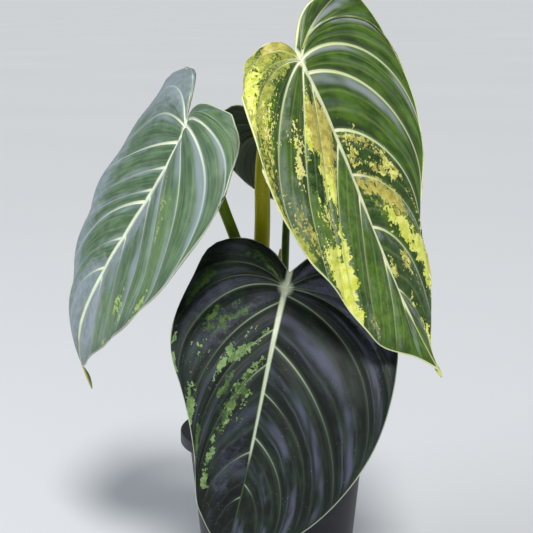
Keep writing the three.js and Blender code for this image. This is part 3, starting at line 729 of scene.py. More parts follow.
def zipped(left, right, y):
    """Triangles for the band between two rows of points that both run from the tip to the sinus."""
    i = j = 0
    faces = []
    while i < len(left) - 1 or j < len(right) - 1:
        go_left = j == len(right) - 1 or (i < len(left) - 1 and y[left[i + 1]] > y[right[j + 1]])
        if go_left:
            faces.append((left[i], right[j], left[i + 1]))
            i += 1
        else:
            faces.append((left[i], right[j], right[j + 1]))
            j += 1
    return faces


def without_repeats(face):
    """The face with each point once, or nothing where fewer than three are left."""
    kept = [a for a, b in zip(face, face[1:] + face[:1]) if a != b]
    return tuple(kept) if len(set(kept)) >= 3 else None


def weave(grids, y):
    """The top's faces, all turned the same way."""
    faces, inner = [], []
    for grid, flip in zip(grids, (True, False)):
        for above, below in zip(grid, grid[1:]):
            for a, b, c, d in zip(above, above[1:], below[1:], below):
                faces.append((a, d, c, b) if flip else (a, b, c, d))
        edge = [*grid[:, 0], *grid[-1]]
        inner.append([v for v, before in zip(edge, [None, *edge]) if v != before])
    faces = [without_repeats(tuple(int(v) for v in face)) for face in faces + zipped(*inner, y)]
    return [face for face in faces if face]


print("weaving ready")

# %% [markdown]
# The points so far lie on the thin sheet. Their normals say which way the relief and the thickness go.
# About the joint all points share one normal, because the lobes meet there at a sharp angle.

# %% Making a blade


def point_normals(points, faces):
    triangles = np.array([(f[0], f[i], f[i + 1]) for f in faces for i in range(1, len(f) - 1)])
    a, b, c = (points[triangles[:, k]] for k in range(3))
    turned = np.cross(b - a, c - a)
    normals = np.zeros_like(points)
    for k in range(3):
        np.add.at(normals, triangles[:, k], turned)
    return unit(normals)


def rim_faces(faces, count):
    """Faces between the open edges of the top and the same edges underneath."""
    open_edges = {}
    for face in faces:
        for a, b in zip(face, face[1:] + face[:1]):
            if not open_edges.pop((b, a), None):
                open_edges[(a, b)] = True
    return [(a, a + count, b + count, b) for a, b in open_edges]


def make_blade(name, blade, finishes):
    rows, grids = welded([half_sheet(blade, -1), half_sheet(blade, 1)])
    faces = weave(grids, rows["flat_y"][:, 0])
    points, hold = rows["point"], rows["hold"]
    normals = point_normals(points, faces)
    if (normals @ blade.face[0]).mean() < 0:
        raise ValueError(f"{name} is woven inside out")
    normals = unit(normals * (1 - hold) + blade.face[0] * hold)
    top = points + normals * rows["lift"]
    under = top - normals * rows["depth"]
    count = len(points)
    under_faces = [tuple(v + count for v in reversed(face)) for face in faces]
    rim = rim_faces(faces, count)
    indices = [0] * len(faces) + [1] * len(under_faces) + [0] * len(rim)
    extra = {key: np.vstack([rows[key], rows[key]]) for key in ("place", "plan", "veins")}
    return make_piece(
        f"leaf_{name}_surface", np.vstack([top, under]), faces + under_faces + rim,
        f"leaf_{name}_blade", finishes, indices, extra,
    )


print("blade maker ready")

# %% [markdown]
# ## The finish of a leaf
# The blade carries three vectors for its finish. place holds p, the place counted in veins from the tip
# and negative on the left half, and w, the place from midrib to margin. plan holds the flat coordinates
# in millimetres and the distance to the margin. veins holds the distance to the nearest vein, the veins'
# strength there, and a number that fades to 0 at the tip. With these, every marking follows the leaf's
# own growth: streaks run along the veins, and coloured sectors end at them.

# %% Coordinates of a leaf's finish
WANDERING = ((5.5, 1.1, 0.3), (1.4, 0.5, 0.14))  # size in mm, reach in p and in w


class LeafFinish(Finish):
    def __init__(self, name, seed, **constants):
        super().__init__(name, **constants)
        self.place, signed, self.w, _ = self.attribute("place")
        self.p = abs(signed)
        self.right = signed > 0
        self.plan, x, self.y, self.to_rim = self.attribute("plan")
        self.x = abs(x)
        _, self.to_vein, self.strength, self.tip = self.attribute("veins")
        self.seed = (seed, seed * 1.7, 0)
        self.pushed = self.wandering()
        self.grain = self.streaks(9, 20) - 0.5
        faint = (1 - self.strength).greater(0)  # beside the midrib a faint vein shows better
        self.shown = self.strength + faint * self.rise(self.w, 0.25, 0.02) * 0.7

    def streaks(self, across, along, detail=3):
        """Noise that is drawn out along the veins: across and along are its counts."""
        vector = self.stretched(self.place, across, along, 0, self.seed)
        return self.noise(vector, detail=detail, roughness=0.6)

    def mottle(self, size, detail=3, shift=0.0):
        """Even noise with grains of about size millimetres."""
        shift = (self.seed[0] + shift, self.seed[1], 0)
        vector = self.stretched(self.plan, 1 / size, 1 / size, 0, shift)
        return self.noise(vector, detail=detail, roughness=0.62)

    def wandering(self):
        """The place, pushed about by noise: what is drawn in it gets a wandering outline."""
        place = self.place
        for size, over_p, over_w in WANDERING:
            vector = self.stretched(self.plan, 1 / size, 1 / size, 0, self.seed)
            cloud = self.noise(vector, detail=3, roughness=0.6, output=1)
            push = self.stretched(cloud, over_p, over_w, 0, (-over_p / 2, -over_w / 2, 0))
            place = self.node("VectorMath", {"operation": "ADD"}, {0: place, 1: push})
        return place


print("coordinates of a leaf's finish ready")

# %% [markdown]
# The patches are ellipses in these coordinates, made ragged with noise. Whole ones have specks round them,
# soft ones fade, and some layers are specks alone. An image would be simpler to paint, but it could
# neither be made sharper nor follow a leaf that is changed.

# %% Patches
SPECKS_THIN = 0.17  # how fast specks thin out, for each radius away from their patch
SPECKS_EDGE = 0.012
RAGGED = 1.4  # how far the grain pushes a patch's outline about, in radii
SOFT_SPAN = (1.4, 0.5)  # a soft patch fades in from the first to the second of these, in radii
WHOLE_SPAN = (1.05, 0.95)


def nearest_patch(f, patches):
    """The distance to the nearest patch, in its own radii. A patch is p, w and its two radii."""
    found = None
    for p, w, over_p, over_w in patches:
        shift = (-p / over_p, -w / over_w, 0)
        offset = f.stretched(f.pushed, 1 / over_p, 1 / over_w, 0, shift)
        distance = f.node("VectorMath", {"operation": "LENGTH"}, {0: offset}, output=1)
        found = distance if found is None else found.lesser(distance)
    return found


def patched(f, ground, kind, colours, patches, fill=0.07, shift=0.0, cover=1.0):
    """ground with a layer of patches: whole ones with specks round them, soft ones, or only specks."""
    distance = nearest_patch(f, patches)
    grain = (f.mottle(1.3, 3, shift) - 0.5) * 0.6 + f.grain * 0.7
    specks = f.rise(grain + (fill - distance * SPECKS_THIN), -SPECKS_EDGE, SPECKS_EDGE)
    if kind == "soft":
        share = f.rise(distance + (f.streaks(4, 6) - 0.5) * 1.2, *SOFT_SPAN)
    elif kind == "whole":
        share = f.rise(distance + grain * RAGGED, *WHOLE_SPAN).greater(specks)
    else:
        share = specks
    tone = f.mix(*colours, f.rise(f.mottle(4.0, 4, 9.1) + grain * 0.5, 0.36, 0.64))
    return f.mix(ground, tone, share * cover)


print("patches ready")

# %% [markdown]
# Bands and veins are lines at a distance: from the place between two side veins, from a vein, or from the
# midrib. Each mask is 1 on its line and falls off softly beside it.

# %% Bands and veins
VEIN_SPAN = (0.28, -0.1)  # a vein's edge is soft between these distances from its width, in mm
RIB_SPAN = (0.45, -0.4)
RIB_THINS = 8  # half of the length over which the midrib thins out
FIRST_VEIN = 0.4  # nearer to the tip than this place no vein shows


# These bands carry painted sheen and painted shade.
def bands(f, given, shift=0.0):
    """Lengthwise bands between two side veins: place from 0 to 1, half width and strength of each."""
    found = None
    place = (f.p + (f.streaks(0.9, 2.2, 2) - 0.5) * 0.3).fraction()
    for centre, half_width, strength in given:
        mask = f.rise(abs(place - centre), half_width, half_width * 0.15) * strength
        found = mask if found is None else found.greater(mask)
    patchy = f.rise(f.streaks(1.6 + shift, 2.6, 2), 0.36, 0.58)
    return found * patchy * f.rise(f.to_rim, 0.0, 4.0)


def vein_mask(f, widest, narrowest):
    """Side veins, widest at the midrib. Their edges are a little soft."""
    width = f.shown * (narrowest + (widest - narrowest) * (1 - f.w) ** 1.6)
    start, full = (width + span for span in VEIN_SPAN)
    return f.rise(f.to_vein, start, full) * f.tip * (f.p > FIRST_VEIN)


def minor_veins(f, count):
    """Fine parallel veins between the side veins."""
    place = f.p * count + (f.streaks(1.2, 3, 1) - 0.5) * 0.5
    return f.rise(abs(place - place.nearest_whole()), 0.16, 0.02)


def midrib_mask(f, widths, length, thins_at):
    """The midrib, with its half widths at the stalk, at mid length and where it thins out."""
    first, middle, thin = widths
    width = f.node("MapRange", {}, {0: f.y, 1: 0.0, 2: length / 2, 3: first, 4: middle})
    fine = f.rise(f.y, thins_at - RIB_THINS, thins_at + RIB_THINS)
    width = width * (1 - fine) + thin * fine
    return f.rise(f.x, *(width + span for span in RIB_SPAN))


print("bands and veins ready")

# %% [markdown]
# One recipe serves all four leaves; what differs is handed in. From the ground up: two greens in
# streaks, painted shade in bands and painted velvet sheen beside the veins or on the crests, the patches,
# and the fine veins.

# %% Ground of a leaf
MINOR_VEINS = 3  # fine ones between two side veins


def leaf_ground(f, look, streaks):
    dark, light = look["greens"]
    ground = f.mix(dark, light, f.rise(streaks + (f.mottle(11, 2) - 0.5) * 0.6, 0.3, 0.72))
    # Painted shade in the dark bands, painted velvet sheen in the light ones.
    ground = f.mix(ground, look["shade"], bands(f, look["shade_bands"], 0.7))
    lights = bands(f, look["bands"]) * (f.right * (1 - look["left_sheen_share"]) + look["left_sheen_share"])
    ground = f.mix(ground, look["painted_sheen"], lights)
    for layer in look["layers"]:
        ground = patched(f, ground, **layer)
    fine = minor_veins(f, MINOR_VEINS) * look["minor"] * f.rise(f.to_rim, 0.5, 8.0)
    return f.mix(ground, look["vein"], fine)


print("greens, bands, patches and fine veins ready")

# %% [markdown]
# Each side vein has a pale halo, and its colour changes from the midrib to the margin. The midrib takes
# the pale colour of the joint near it, and painted shade along its edges, which makes it look round.

# %% Veins and midrib of a leaf
HALO_REACH, HALO_SHARE = 2.0, 0.3  # how far the halo goes from its vein, and how much it shows
JOINT_COLOUR_SPAN = (2, 34)  # between these distances from the joint the midrib takes its own colour
RIB_CHANGE = 6  # half of the length over which the midrib changes to its end's colour
# between these distances from its middle the midrib takes its painted shade
RIB_SHADE_SPAN = (0.3, 1.6)


def with_veins(f, look, ground, veins):
    halo = f.rise(f.to_vein, HALO_REACH, 0.2) * f.strength * (1 - f.w) * HALO_SHARE
    ground = f.mix(ground, look["halo"], halo)
    tint = f.mix(look["vein"], look["vein_end"], f.rise(f.w, 0.1, 0.7))
    tint = f.mix(look["vein_root"], tint, f.rise(f.w, 0.0, 0.2))
    return f.mix(ground, tint, veins * f.shown.lesser(1.0) * (1 - f.w * look["fade"]))


def with_midrib(f, look, ground, streaks, length):
    midrib = midrib_mask(f, look["midrib"], length, look["thins_at"])
    change = f.rise(f.y, look["thins_at"] - RIB_CHANGE, look["thins_at"] + RIB_CHANGE)
    rib = f.mix(look["rib"], look["rib_end"], change)
    rib = f.mix(look["joint"], rib, f.rise(f.y, *JOINT_COLOUR_SPAN))
    # painted shade along the midrib's edges
    rib = f.mix(rib, look["halo"], f.rise(f.x, *RIB_SHADE_SPAN) * 0.6)
    ground = f.mix(ground, rib, midrib * (0.9 + (streaks - 0.5) * 0.5))
    joint = f.rise((f.x * f.x + f.y * f.y) ** 0.5 + (streaks - 0.5) * 2, look["joint_size"], 1.0)
    return f.mix(ground, look["joint"], joint * 0.9)


print("veins and midrib ready")

# %% [markdown]
# Last come the thin pale line along the margin, the tip's colour and some dust, which has settled in
# clouds. The relief is very fine: a grain, streaks along the veins and the fine veins pressed in.

# %% Top of a leaf
DUST = colour(206, 204, 196)
VELVET_TINT, VELVET_ROUGHNESS = (0.82, 0.88, 1.0), 0.35
MARGIN_SPAN = (0.6, 0.2)  # the margin's line fades in between these distances from it
TIP_SPAN = 2


def leaf_top(name, length, look, seed):
    f = LeafFinish(f"{name}_top", seed, Sheen_Weight=look["sheen"], Sheen_Roughness=VELVET_ROUGHNESS)
    f.set(Specular_IOR_Level=look["gloss"], Sheen_Tint=VELVET_TINT)
    streaks = f.streaks(7, 5)
    veins = vein_mask(f, *look["vein_width"])
    ground = with_veins(f, look, leaf_ground(f, look, streaks), veins)
    ground = with_midrib(f, look, ground, streaks, length)
    ground = f.mix(ground, look["margin"], f.rise(f.to_rim, *MARGIN_SPAN) * 0.85)
    ground = f.mix(ground, look["tip"], f.rise(f.y, length - TIP_SPAN, length + TIP_SPAN))
    dust = f.rise(f.mottle(0.45, 1, 3.3), 0.73, 0.77) * f.rise(f.mottle(12, 2, 5.2), 0.45, 0.6)
    ground = f.mix(ground, DUST, dust * look["dust"])
    height = f.mottle(0.5, 2) * 0.25 + f.streaks(26, 9) * 0.5 - minor_veins(f, MINOR_VEINS) * 0.5
    rough = look["rough"] + (f.mottle(5, 2) - 0.5) * 0.12 + veins * 0.08
    f.set(Base_Color=ground, Roughness=rough, Normal=f.bump(height, look["grain"], 0.5))
    return f


print("top recipe ready")

# %% [markdown]
# The underside is duller and, on all but the back leaf, paler. Its veins are raised and nearly of its own
# colour, and it has almost no velvet. The patches show through it at half strength, since the colour of
# a sector goes right through a leaf; the patches of painted sheen and painted shade show through as well.

# %% Underside of a leaf
UNDER_SEED = 3.1  # added to the top's, so that the two differ
UNDER_SHEEN, UNDER_GLOSS, UNDER_ROUGHNESS = 0.03, 0.35, 0.5
UNDER_VEIN = (0.6, 0.22)
UNDER_RIB = (1.7, 1.2, 0.5)
UNDER_THINS_AT = 0.9  # of the length


def leaf_underside(name, length, look, seed):
    f = LeafFinish(f"{name}_underside", seed + UNDER_SEED, Sheen_Weight=UNDER_SHEEN)
    f.set(Specular_IOR_Level=UNDER_GLOSS)
    dark, light = look["under"]
    ground = f.mix(dark, light, f.rise(f.streaks(6, 4), 0.3, 0.7))
    # The layers hold patches of painted sheen and painted shade too, which show here at half strength.
    for layer in look["layers"]:
        ground = patched(f, ground, **{**layer, "cover": 0.5 * layer.get("cover", 1.0)})
    raised = look["under_vein"]
    ground = f.mix(ground, raised, minor_veins(f, MINOR_VEINS) * 0.16)
    ground = f.mix(ground, raised, vein_mask(f, *UNDER_VEIN) * (0.8 - f.w * 0.4))
    ground = f.mix(ground, raised, midrib_mask(f, UNDER_RIB, length, length * UNDER_THINS_AT) * 0.9)
    ground = f.mix(ground, look["margin"], f.rise(f.to_rim, *MARGIN_SPAN) * 0.9)
    height = f.mottle(0.7, 2) * 0.3 + f.streaks(20, 8) * 0.5 + minor_veins(f, MINOR_VEINS) * 0.6
    rough = UNDER_ROUGHNESS + f.mottle(4, 2) * 0.1
    f.set(Base_Color=ground, Roughness=rough, Normal=f.bump(height, 0.25, 0.5))
    return f


print("underside recipe ready")

# %% [markdown]
# ## The right leaf
# This is the strongly variegated one. Its left half has a tan sector beside the midrib, lime yellow
# towards the margin and a speckled lobe; its right half is plain green above and has a lime and tan
# sector towards the tip. Negative places are on the left half.

# %% Colours of the right leaf
# greens, shade, silver: the two greens, the colour of the painted shade and that of the painted sheen.
# shade_bands and bands hold the bands of painted shade and of painted sheen: each band is its place
# between two side veins, its half width and its strength; left_sheen_share is the painted sheen's share on
# the left half. minor: how much the fine veins show. fade: how much the veins fade towards the margin.
# vein_width: at the midrib and at the margin. midrib: its half widths at the stalk, half way and past
# thins_at. grain: the relief's height in mm. A patch is its place in p and in w, and its radius in each.
LIME = colour(192, 200, 64)
LIME_PALE = colour(222, 224, 122)
TAN = colour(152, 144, 62)
TAN_PALE = colour(194, 184, 92)
CREAM = colour(226, 220, 140)
DEEP_GREEN = colour(26, 50, 12)
DEEP_GREEN_PALE = colour(50, 80, 24)
GREY_GREEN = colour(104, 122, 92)
# the colour of the painted velvet sheen
PAINTED_SHEEN_SILVER = colour(150, 156, 164)
OLIVE = colour(128, 138, 52)

RIGHT_LOOK = dict(
    # The dark bands are painted shade, the light bands painted velvet sheen.
    greens=(colour(42, 68, 14), colour(76, 108, 26)), shade=colour(36, 52, 24), painted_sheen=PAINTED_SHEEN_SILVER,
    bands=((0.86, 0.16, 0.7), (0.45, 0.1, 0.12)), shade_bands=((0.1, 0.17, 0.9), (0.7, 0.08, 0.5)),
    left_sheen_share=0.45, halo=colour(150, 172, 100), minor=0.08, vein_width=(0.58, 0.12), fade=0.35,
    vein=colour(214, 226, 168), vein_end=colour(188, 200, 162), vein_root=colour(240, 242, 206),
    midrib=(1.5, 0.9, 0.3), thins_at=118, rib=colour(232, 236, 190), rib_end=colour(206, 218, 146),
    joint=colour(240, 242, 206), joint_size=4.2, margin=colour(226, 230, 176), tip=colour(200, 204, 110),
    sheen=0.06, gloss=0.35, rough=0.44, grain=0.22, dust=0.2,
    under=(colour(88, 104, 44), colour(120, 134, 60)), under_vein=colour(190, 200, 120),
    layers=[
        dict(kind="soft", colours=(colour(62, 94, 24), colour(94, 124, 42)), cover=0.7, patches=(
            (-3.5, 0.25, 0.5, 0.35), (-2.4, 0.6, 0.8, 0.3), (-5.5, 0.75, 0.6, 0.16))),
        dict(kind="soft", colours=(DEEP_GREEN, DEEP_GREEN_PALE), cover=0.9, patches=(
            (-3.3, 0.82, 0.26, 0.1), (3.5, 0.45, 0.56, 0.66), (1.5, 0.45, 0.6, 0.6),
            (-7.4, 0.24, 0.4, 0.12))),
        dict(kind="soft", colours=(GREY_GREEN, colour(74, 92, 66)), patches=(
            (-6.9, 0.32, 0.2, 0.14), (-6.6, 0.74, 0.5, 0.15), (-3.2, 0.88, 0.25, 0.08))),
        dict(kind="whole", colours=(OLIVE, colour(172, 174, 74)), patches=(
            (-9.6, 0.6, 1.8, 0.6), (-8.2, 0.66, 0.55, 0.5), (-8.2, 0.16, 0.7, 0.1),
            (-7.3, 0.92, 0.7, 0.1))),
        dict(kind="whole", colours=(LIME, LIME_PALE), patches=(
            (-4.2, 0.6, 0.36, 0.12), (-4.15, 0.74, 0.44, 0.14), (-4.8, 0.9, 0.9, 0.13),
            (-4.2, 0.92, 0.4, 0.12), (-5.85, 0.28, 0.2, 0.16), (-5.2, 0.44, 0.3, 0.12),
            (-4.6, 0.36, 0.36, 0.13), (-9.0, 0.8, 0.8, 0.16), (-8.4, 0.12, 0.5, 0.07),
            (2.38, 0.45, 0.2, 0.24), (2.6, 0.78, 0.34, 0.18), (2.9, 0.96, 0.34, 0.09),
            (0.7, 0.9, 0.5, 0.07))),
        dict(kind="whole", colours=(TAN, TAN_PALE), shift=2.0, fill=0.03, patches=(
            (-5.5, 0.24, 0.46, 0.13), (-5.0, 0.2, 0.46, 0.19), (-4.5, 0.15, 0.4, 0.17),
            (-6.2, 0.83, 0.13, 0.055), (-10.2, 0.5, 0.4, 0.2), (2.8, 0.2, 0.21, 0.26))),
        dict(kind="whole", colours=(TAN, LIME_PALE), shift=3.0, fill=0.06, patches=(
            (3.86, 0.14, 0.12, 0.13), (3.45, 0.09, 0.13, 0.06), (3.66, 0.42, 0.15, 0.1),
            (3.42, 0.36, 0.11, 0.1), (3.28, 0.25, 0.09, 0.08), (3.22, 0.88, 0.2, 0.08),
            (1.76, 0.4, 0.11, 0.1), (1.4, 0.1, 0.1, 0.05), (1.05, 0.42, 0.07, 0.05))),
        dict(kind="whole", colours=(DEEP_GREEN, DEEP_GREEN_PALE), shift=1.0, patches=(
            (2.38, 0.09, 0.15, 0.06), (-5.62, 0.5, 0.34, 0.085))),
        dict(kind="specks", colours=(LIME, CREAM), shift=4.0, fill=0.04, patches=(
            (-6.5, 0.4, 0.42, 0.1), (-7.55, 0.58, 0.45, 0.3), (-5.3, 0.64, 0.5, 0.1),
            (-5.8, 0.86, 0.3, 0.12), (1.75, 0.66, 0.1, 0.06), (1.0, 0.7, 0.2, 0.16))),
        dict(kind="specks", colours=(TAN, TAN_PALE), shift=6.0, fill=0.05, patches=(
            (3.82, 0.3, 0.12, 0.14), (3.45, 0.68, 0.2, 0.14), (-6.55, 0.78, 0.4, 0.1),
            (-3.05, 0.9, 0.2, 0.08), (-7.6, 0.75, 0.45, 0.24), (-8.3, 0.5, 0.3, 0.3))),
        dict(kind="whole", colours=(CREAM, LIME_PALE), fill=0.0, patches=(
            (-6.33, 0.53, 0.12, 0.07), (-6.4, 0.44, 0.1, 0.05))),
        dict(kind="specks", colours=(DEEP_GREEN, colour(76, 100, 42)), shift=7.0, fill=0.045, patches=(
            (-8.6, 0.5, 0.8, 0.4), (-10.2, 0.75, 0.6, 0.2), (-9.4, 0.3, 0.6, 0.14), (-7.9, 0.8, 0.6, 0.2),
            (-5.9, 0.84, 0.3, 0.1), (-9.4, 0.72, 0.4, 0.12))),
    ],
)
print("patches on the right leaf:", sum(len(layer["patches"]) for layer in RIGHT_LOOK["layers"]))

# %% [markdown]
# ## The front leaf
# Nearly black velvet, with long grey painted sheen on the crests between the veins of its right half,
# soft patches of painted sheen and painted shade, and a spatter of light green on its left half.

# %% Colours of the front leaf
FLECK = colour(80, 108, 60)
FLECK_PALE = colour(118, 142, 86)
FLECK_DIM = colour(50, 72, 38)
# the colour of the painted velvet sheen
PAINTED_VELVET_SHEEN = colour(84, 86, 108)
FRONT_LOOK = dict(
    # The dark bands are painted shade, the light bands painted velvet sheen.
    greens=(colour(13, 19, 17), colour(32, 43, 35)), shade=colour(7, 10, 9), painted_sheen=PAINTED_VELVET_SHEEN,
    bands=((0.52, 0.19, 0.6), (0.28, 0.05, 0.35)), shade_bands=((0.1, 0.12, 0.8), (0.87, 0.12, 0.6)),
    left_sheen_share=0.45, halo=colour(84, 100, 78), minor=0.03, vein_width=(0.3, 0.07), fade=0.7,
    vein=colour(136, 150, 124), vein_end=colour(74, 86, 74), vein_root=colour(136, 150, 126),
    midrib=(1.3, 0.55, 0.18), thins_at=74, rib=colour(182, 194, 164), rib_end=colour(72, 84, 54),
    joint=colour(240, 246, 218), joint_size=4.2, margin=colour(168, 178, 158), tip=colour(90, 100, 60),
    sheen=0.03, gloss=0.2, rough=0.54, grain=0.13, dust=0.7,
    under=(colour(42, 50, 34), colour(60, 70, 46)), under_vein=colour(120, 130, 88),
    layers=[
        # Soft washes of painted velvet sheen, most of them on the left half.
        dict(kind="soft", colours=(PAINTED_VELVET_SHEEN, colour(56, 58, 74)), cover=0.36, patches=(
            (-6.45, 0.4, 0.4, 0.34), (-5.3, 0.3, 0.2, 0.3), (-1.9, 0.3, 0.3, 0.24),
            (5.75, 0.6, 0.24, 0.12))),
        # A painted velvet highlight on the upper right half.
        dict(kind="soft", colours=(colour(104, 106, 126), PAINTED_VELVET_SHEEN), cover=0.6, patches=(
            (7.0, 0.34, 0.7, 0.3), (8.6, 0.3, 0.6, 0.2), (6.2, 0.5, 0.3, 0.2))),
        # Painted shade on the lower part of the left half.
        dict(kind="soft", colours=(colour(9, 11, 12), colour(20, 24, 24)), cover=0.75, patches=(
            (-0.9, 0.5, 0.8, 0.6), (-2.4, 0.95, 0.9, 0.3))),
        dict(kind="soft", colours=(FLECK_DIM, colour(76, 104, 46)), cover=0.9, patches=(
            (-3.62, 0.4, 0.14, 0.07), (-5.7, 0.48, 0.14, 0.07), (-5.35, 0.35, 0.1, 0.14),
            (-7.5, 0.75, 0.4, 0.12), (-3.9, 0.85, 0.3, 0.08), (-8.8, 0.4, 0.35, 0.16),
            (-3.0, 0.3, 0.2, 0.16), (-8.5, 0.22, 0.3, 0.12))),
        dict(kind="whole", colours=(FLECK, FLECK_PALE), fill=0.0, patches=(
            (-4.45, 0.4, 0.17, 0.06), (-4.25, 0.31, 0.16, 0.07), (-4.0, 0.22, 0.15, 0.07),
            (-3.97, 0.13, 0.12, 0.05), (-4.5, 0.2, 0.07, 0.025), (-3.2, 0.15, 0.07, 0.08),
            (-2.86, 0.35, 0.1, 0.05), (-2.75, 0.17, 0.08, 0.04), (-2.66, 0.56, 0.16, 0.05),
            (-2.4, 0.7, 0.22, 0.07), (-5.0, 0.93, 0.3, 0.09), (-6.4, 0.94, 0.26, 0.04),
            (-8.5, 0.2, 0.2, 0.07))),
        dict(kind="specks", colours=(FLECK, FLECK_PALE), shift=5.0, fill=-0.02, patches=(
            (-5.4, 0.62, 0.3, 0.14), (-3.0, 0.3, 0.5, 0.2), (-2.4, 0.72, 0.3, 0.12),
            (-5.0, 0.85, 0.5, 0.1), (-4.4, 0.5, 0.3, 0.12))),
    ],
)
print("patches on the front leaf:", sum(len(layer["patches"]) for layer in FRONT_LOOK["layers"]))

# %% [markdown]
# ## The left leaf and the back leaf
# The left leaf is grey-green with a painted silvery sheen beside its veins and towards its left margin,
# and it has only a few pale streaks.

# %% Colours of the left leaf
STREAK = colour(136, 160, 84)
LEFT_LOOK = dict(
    # The dark bands are painted shade, the light bands painted velvet sheen.
    greens=(colour(60, 86, 58), colour(90, 116, 84)), shade=colour(52, 76, 54),
    painted_sheen=colour(140, 150, 164), bands=((0.9, 0.16, 0.6), (0.08, 0.12, 0.4)),
    shade_bands=((0.35, 0.14, 0.6),), left_sheen_share=1, halo=colour(136, 154, 138), minor=0.06,
    vein_width=(0.72, 0.15), fade=0.3,
    vein=colour(214, 222, 190), vein_end=colour(160, 172, 174), vein_root=colour(236, 242, 210),
    midrib=(2.5, 1.6, 0.6), thins_at=122, rib=colour(228, 234, 204), rib_end=colour(196, 206, 170),
    joint=colour(236, 242, 210), joint_size=5, margin=colour(188, 198, 170), tip=colour(188, 188, 70),
    sheen=0.1, gloss=0.35, rough=0.46, grain=0.22, dust=0.4,
    under=(colour(84, 100, 60), colour(104, 120, 74)), under_vein=colour(160, 172, 118),
    layers=[
        # A lavender wash of painted velvet sheen along the left margin, over the left lobe, beside the
        # midrib and towards the tip.
        dict(kind="soft", colours=(colour(148, 156, 172), colour(126, 138, 144)), cover=0.6, patches=(
            (-3.5, 1.04, 5.5, 0.32), (-8.6, 0.6, 1.5, 0.7), (2.2, 0.06, 2.0, 0.14), (-0.8, 0.5, 0.7, 0.6),
            (0.8, 0.4, 0.8, 0.5))),
        dict(kind="soft", colours=(colour(86, 118, 60), colour(104, 134, 76)), cover=0.4, patches=(
            (4.5, 0.6, 0.9, 0.3), (1.9, 0.7, 0.8, 0.3), (8.0, 0.6, 0.8, 0.4))),
        dict(kind="specks", colours=(STREAK, colour(158, 176, 104)), fill=-0.03, patches=(
            (4.3, 0.5, 0.3, 0.24), (3.3, 0.78, 0.3, 0.1), (4.9, 0.9, 0.3, 0.06), (2.4, 0.85, 0.4, 0.08))),
        dict(kind="whole", colours=(STREAK, colour(158, 176, 104)), fill=-0.02, patches=(
            (3.0, 0.74, 0.16, 0.07), (2.7, 0.62, 0.1, 0.04), (4.6, 0.88, 0.2, 0.07),
            (4.4, 0.34, 0.05, 0.09), (4.35, 0.5, 0.04, 0.05), (2.3, 0.86, 0.1, 0.05))),
    ],
)
print("patches on the left leaf:", sum(len(layer["patches"]) for layer in LEFT_LOOK["layers"]))

# %% [markdown]
# The back leaf is dark olive. It shows its underside, and has no patches. What it doesn't say for
# itself it takes from the left leaf.

# %% Colours of the back leaf
BACK_LOOK = dict(
    # Its bands are painted shade and painted sheen, darker than the left leaf's.
    LEFT_LOOK, greens=(colour(30, 44, 26), colour(48, 64, 34)), shade=colour(22, 32, 20),
    painted_sheen=colour(80, 92, 84), halo=colour(70, 86, 50), gloss=0.25, layers=[],
    vein=colour(150, 164, 110), vein_end=colour(110, 124, 80), vein_root=colour(160, 172, 116),
    thins_at=90, rib=colour(170, 182, 124), rib_end=colour(130, 142, 90), joint=colour(170, 182, 124),
    margin=colour(170, 178, 140), tip=colour(120, 130, 80),
    under=(colour(24, 38, 8), colour(42, 60, 16)), under_vein=colour(84, 104, 40),
)
LOOKS = {"left": LEFT_LOOK, "right": RIGHT_LOOK, "front": FRONT_LOOK, "back": BACK_LOOK}
SEEDS = {"left": 2.0, "right": 11.0, "front": 23.0, "back": 31.0}
print("looks for:", list(LOOKS))

# %% [markdown]
# Each blade now gets its two finishes: the first is for its top and its rim, the second for its underside.

# %% Make the blades
for name, blade in blades.items():
    given = (f"leaf_{name}", blade.leaf["length"], LOOKS[name], SEEDS[name])
    make_blade(name, blade, [leaf_top(*given), leaf_underside(*given)])

# %% [markdown]
# ## Stalks, stem and the next leaf
# All of these are round bars along a curve. A frame is carried along the curve without twisting, and a
# ring of points is laid out in it at each step. A function gives the radius, so the stem can swell at
# its leaf scars and the stalk can thicken where it meets its blade.

# %% Bars along a curve
START_SIDE = (0.3, 1.0, 0.2)  # a direction that no bar here starts along
END_BULGE = 0.35  # how far a bar's ends bulge, as a share of its radius there


def carried_frames(centres):
    """Two directions square to the curve at each of its points, carried along without twisting."""
    tangents = unit(np.gradient(centres, axis=0))
    side = np.cross(tangents[0], START_SIDE)
    sides = []
    for tangent in tangents:
        side = unit(side - (side @ tangent) * tangent)
        sides.append(side)
    sides = np.array(sides)
    return tangents, sides, np.cross(tangents, sides)


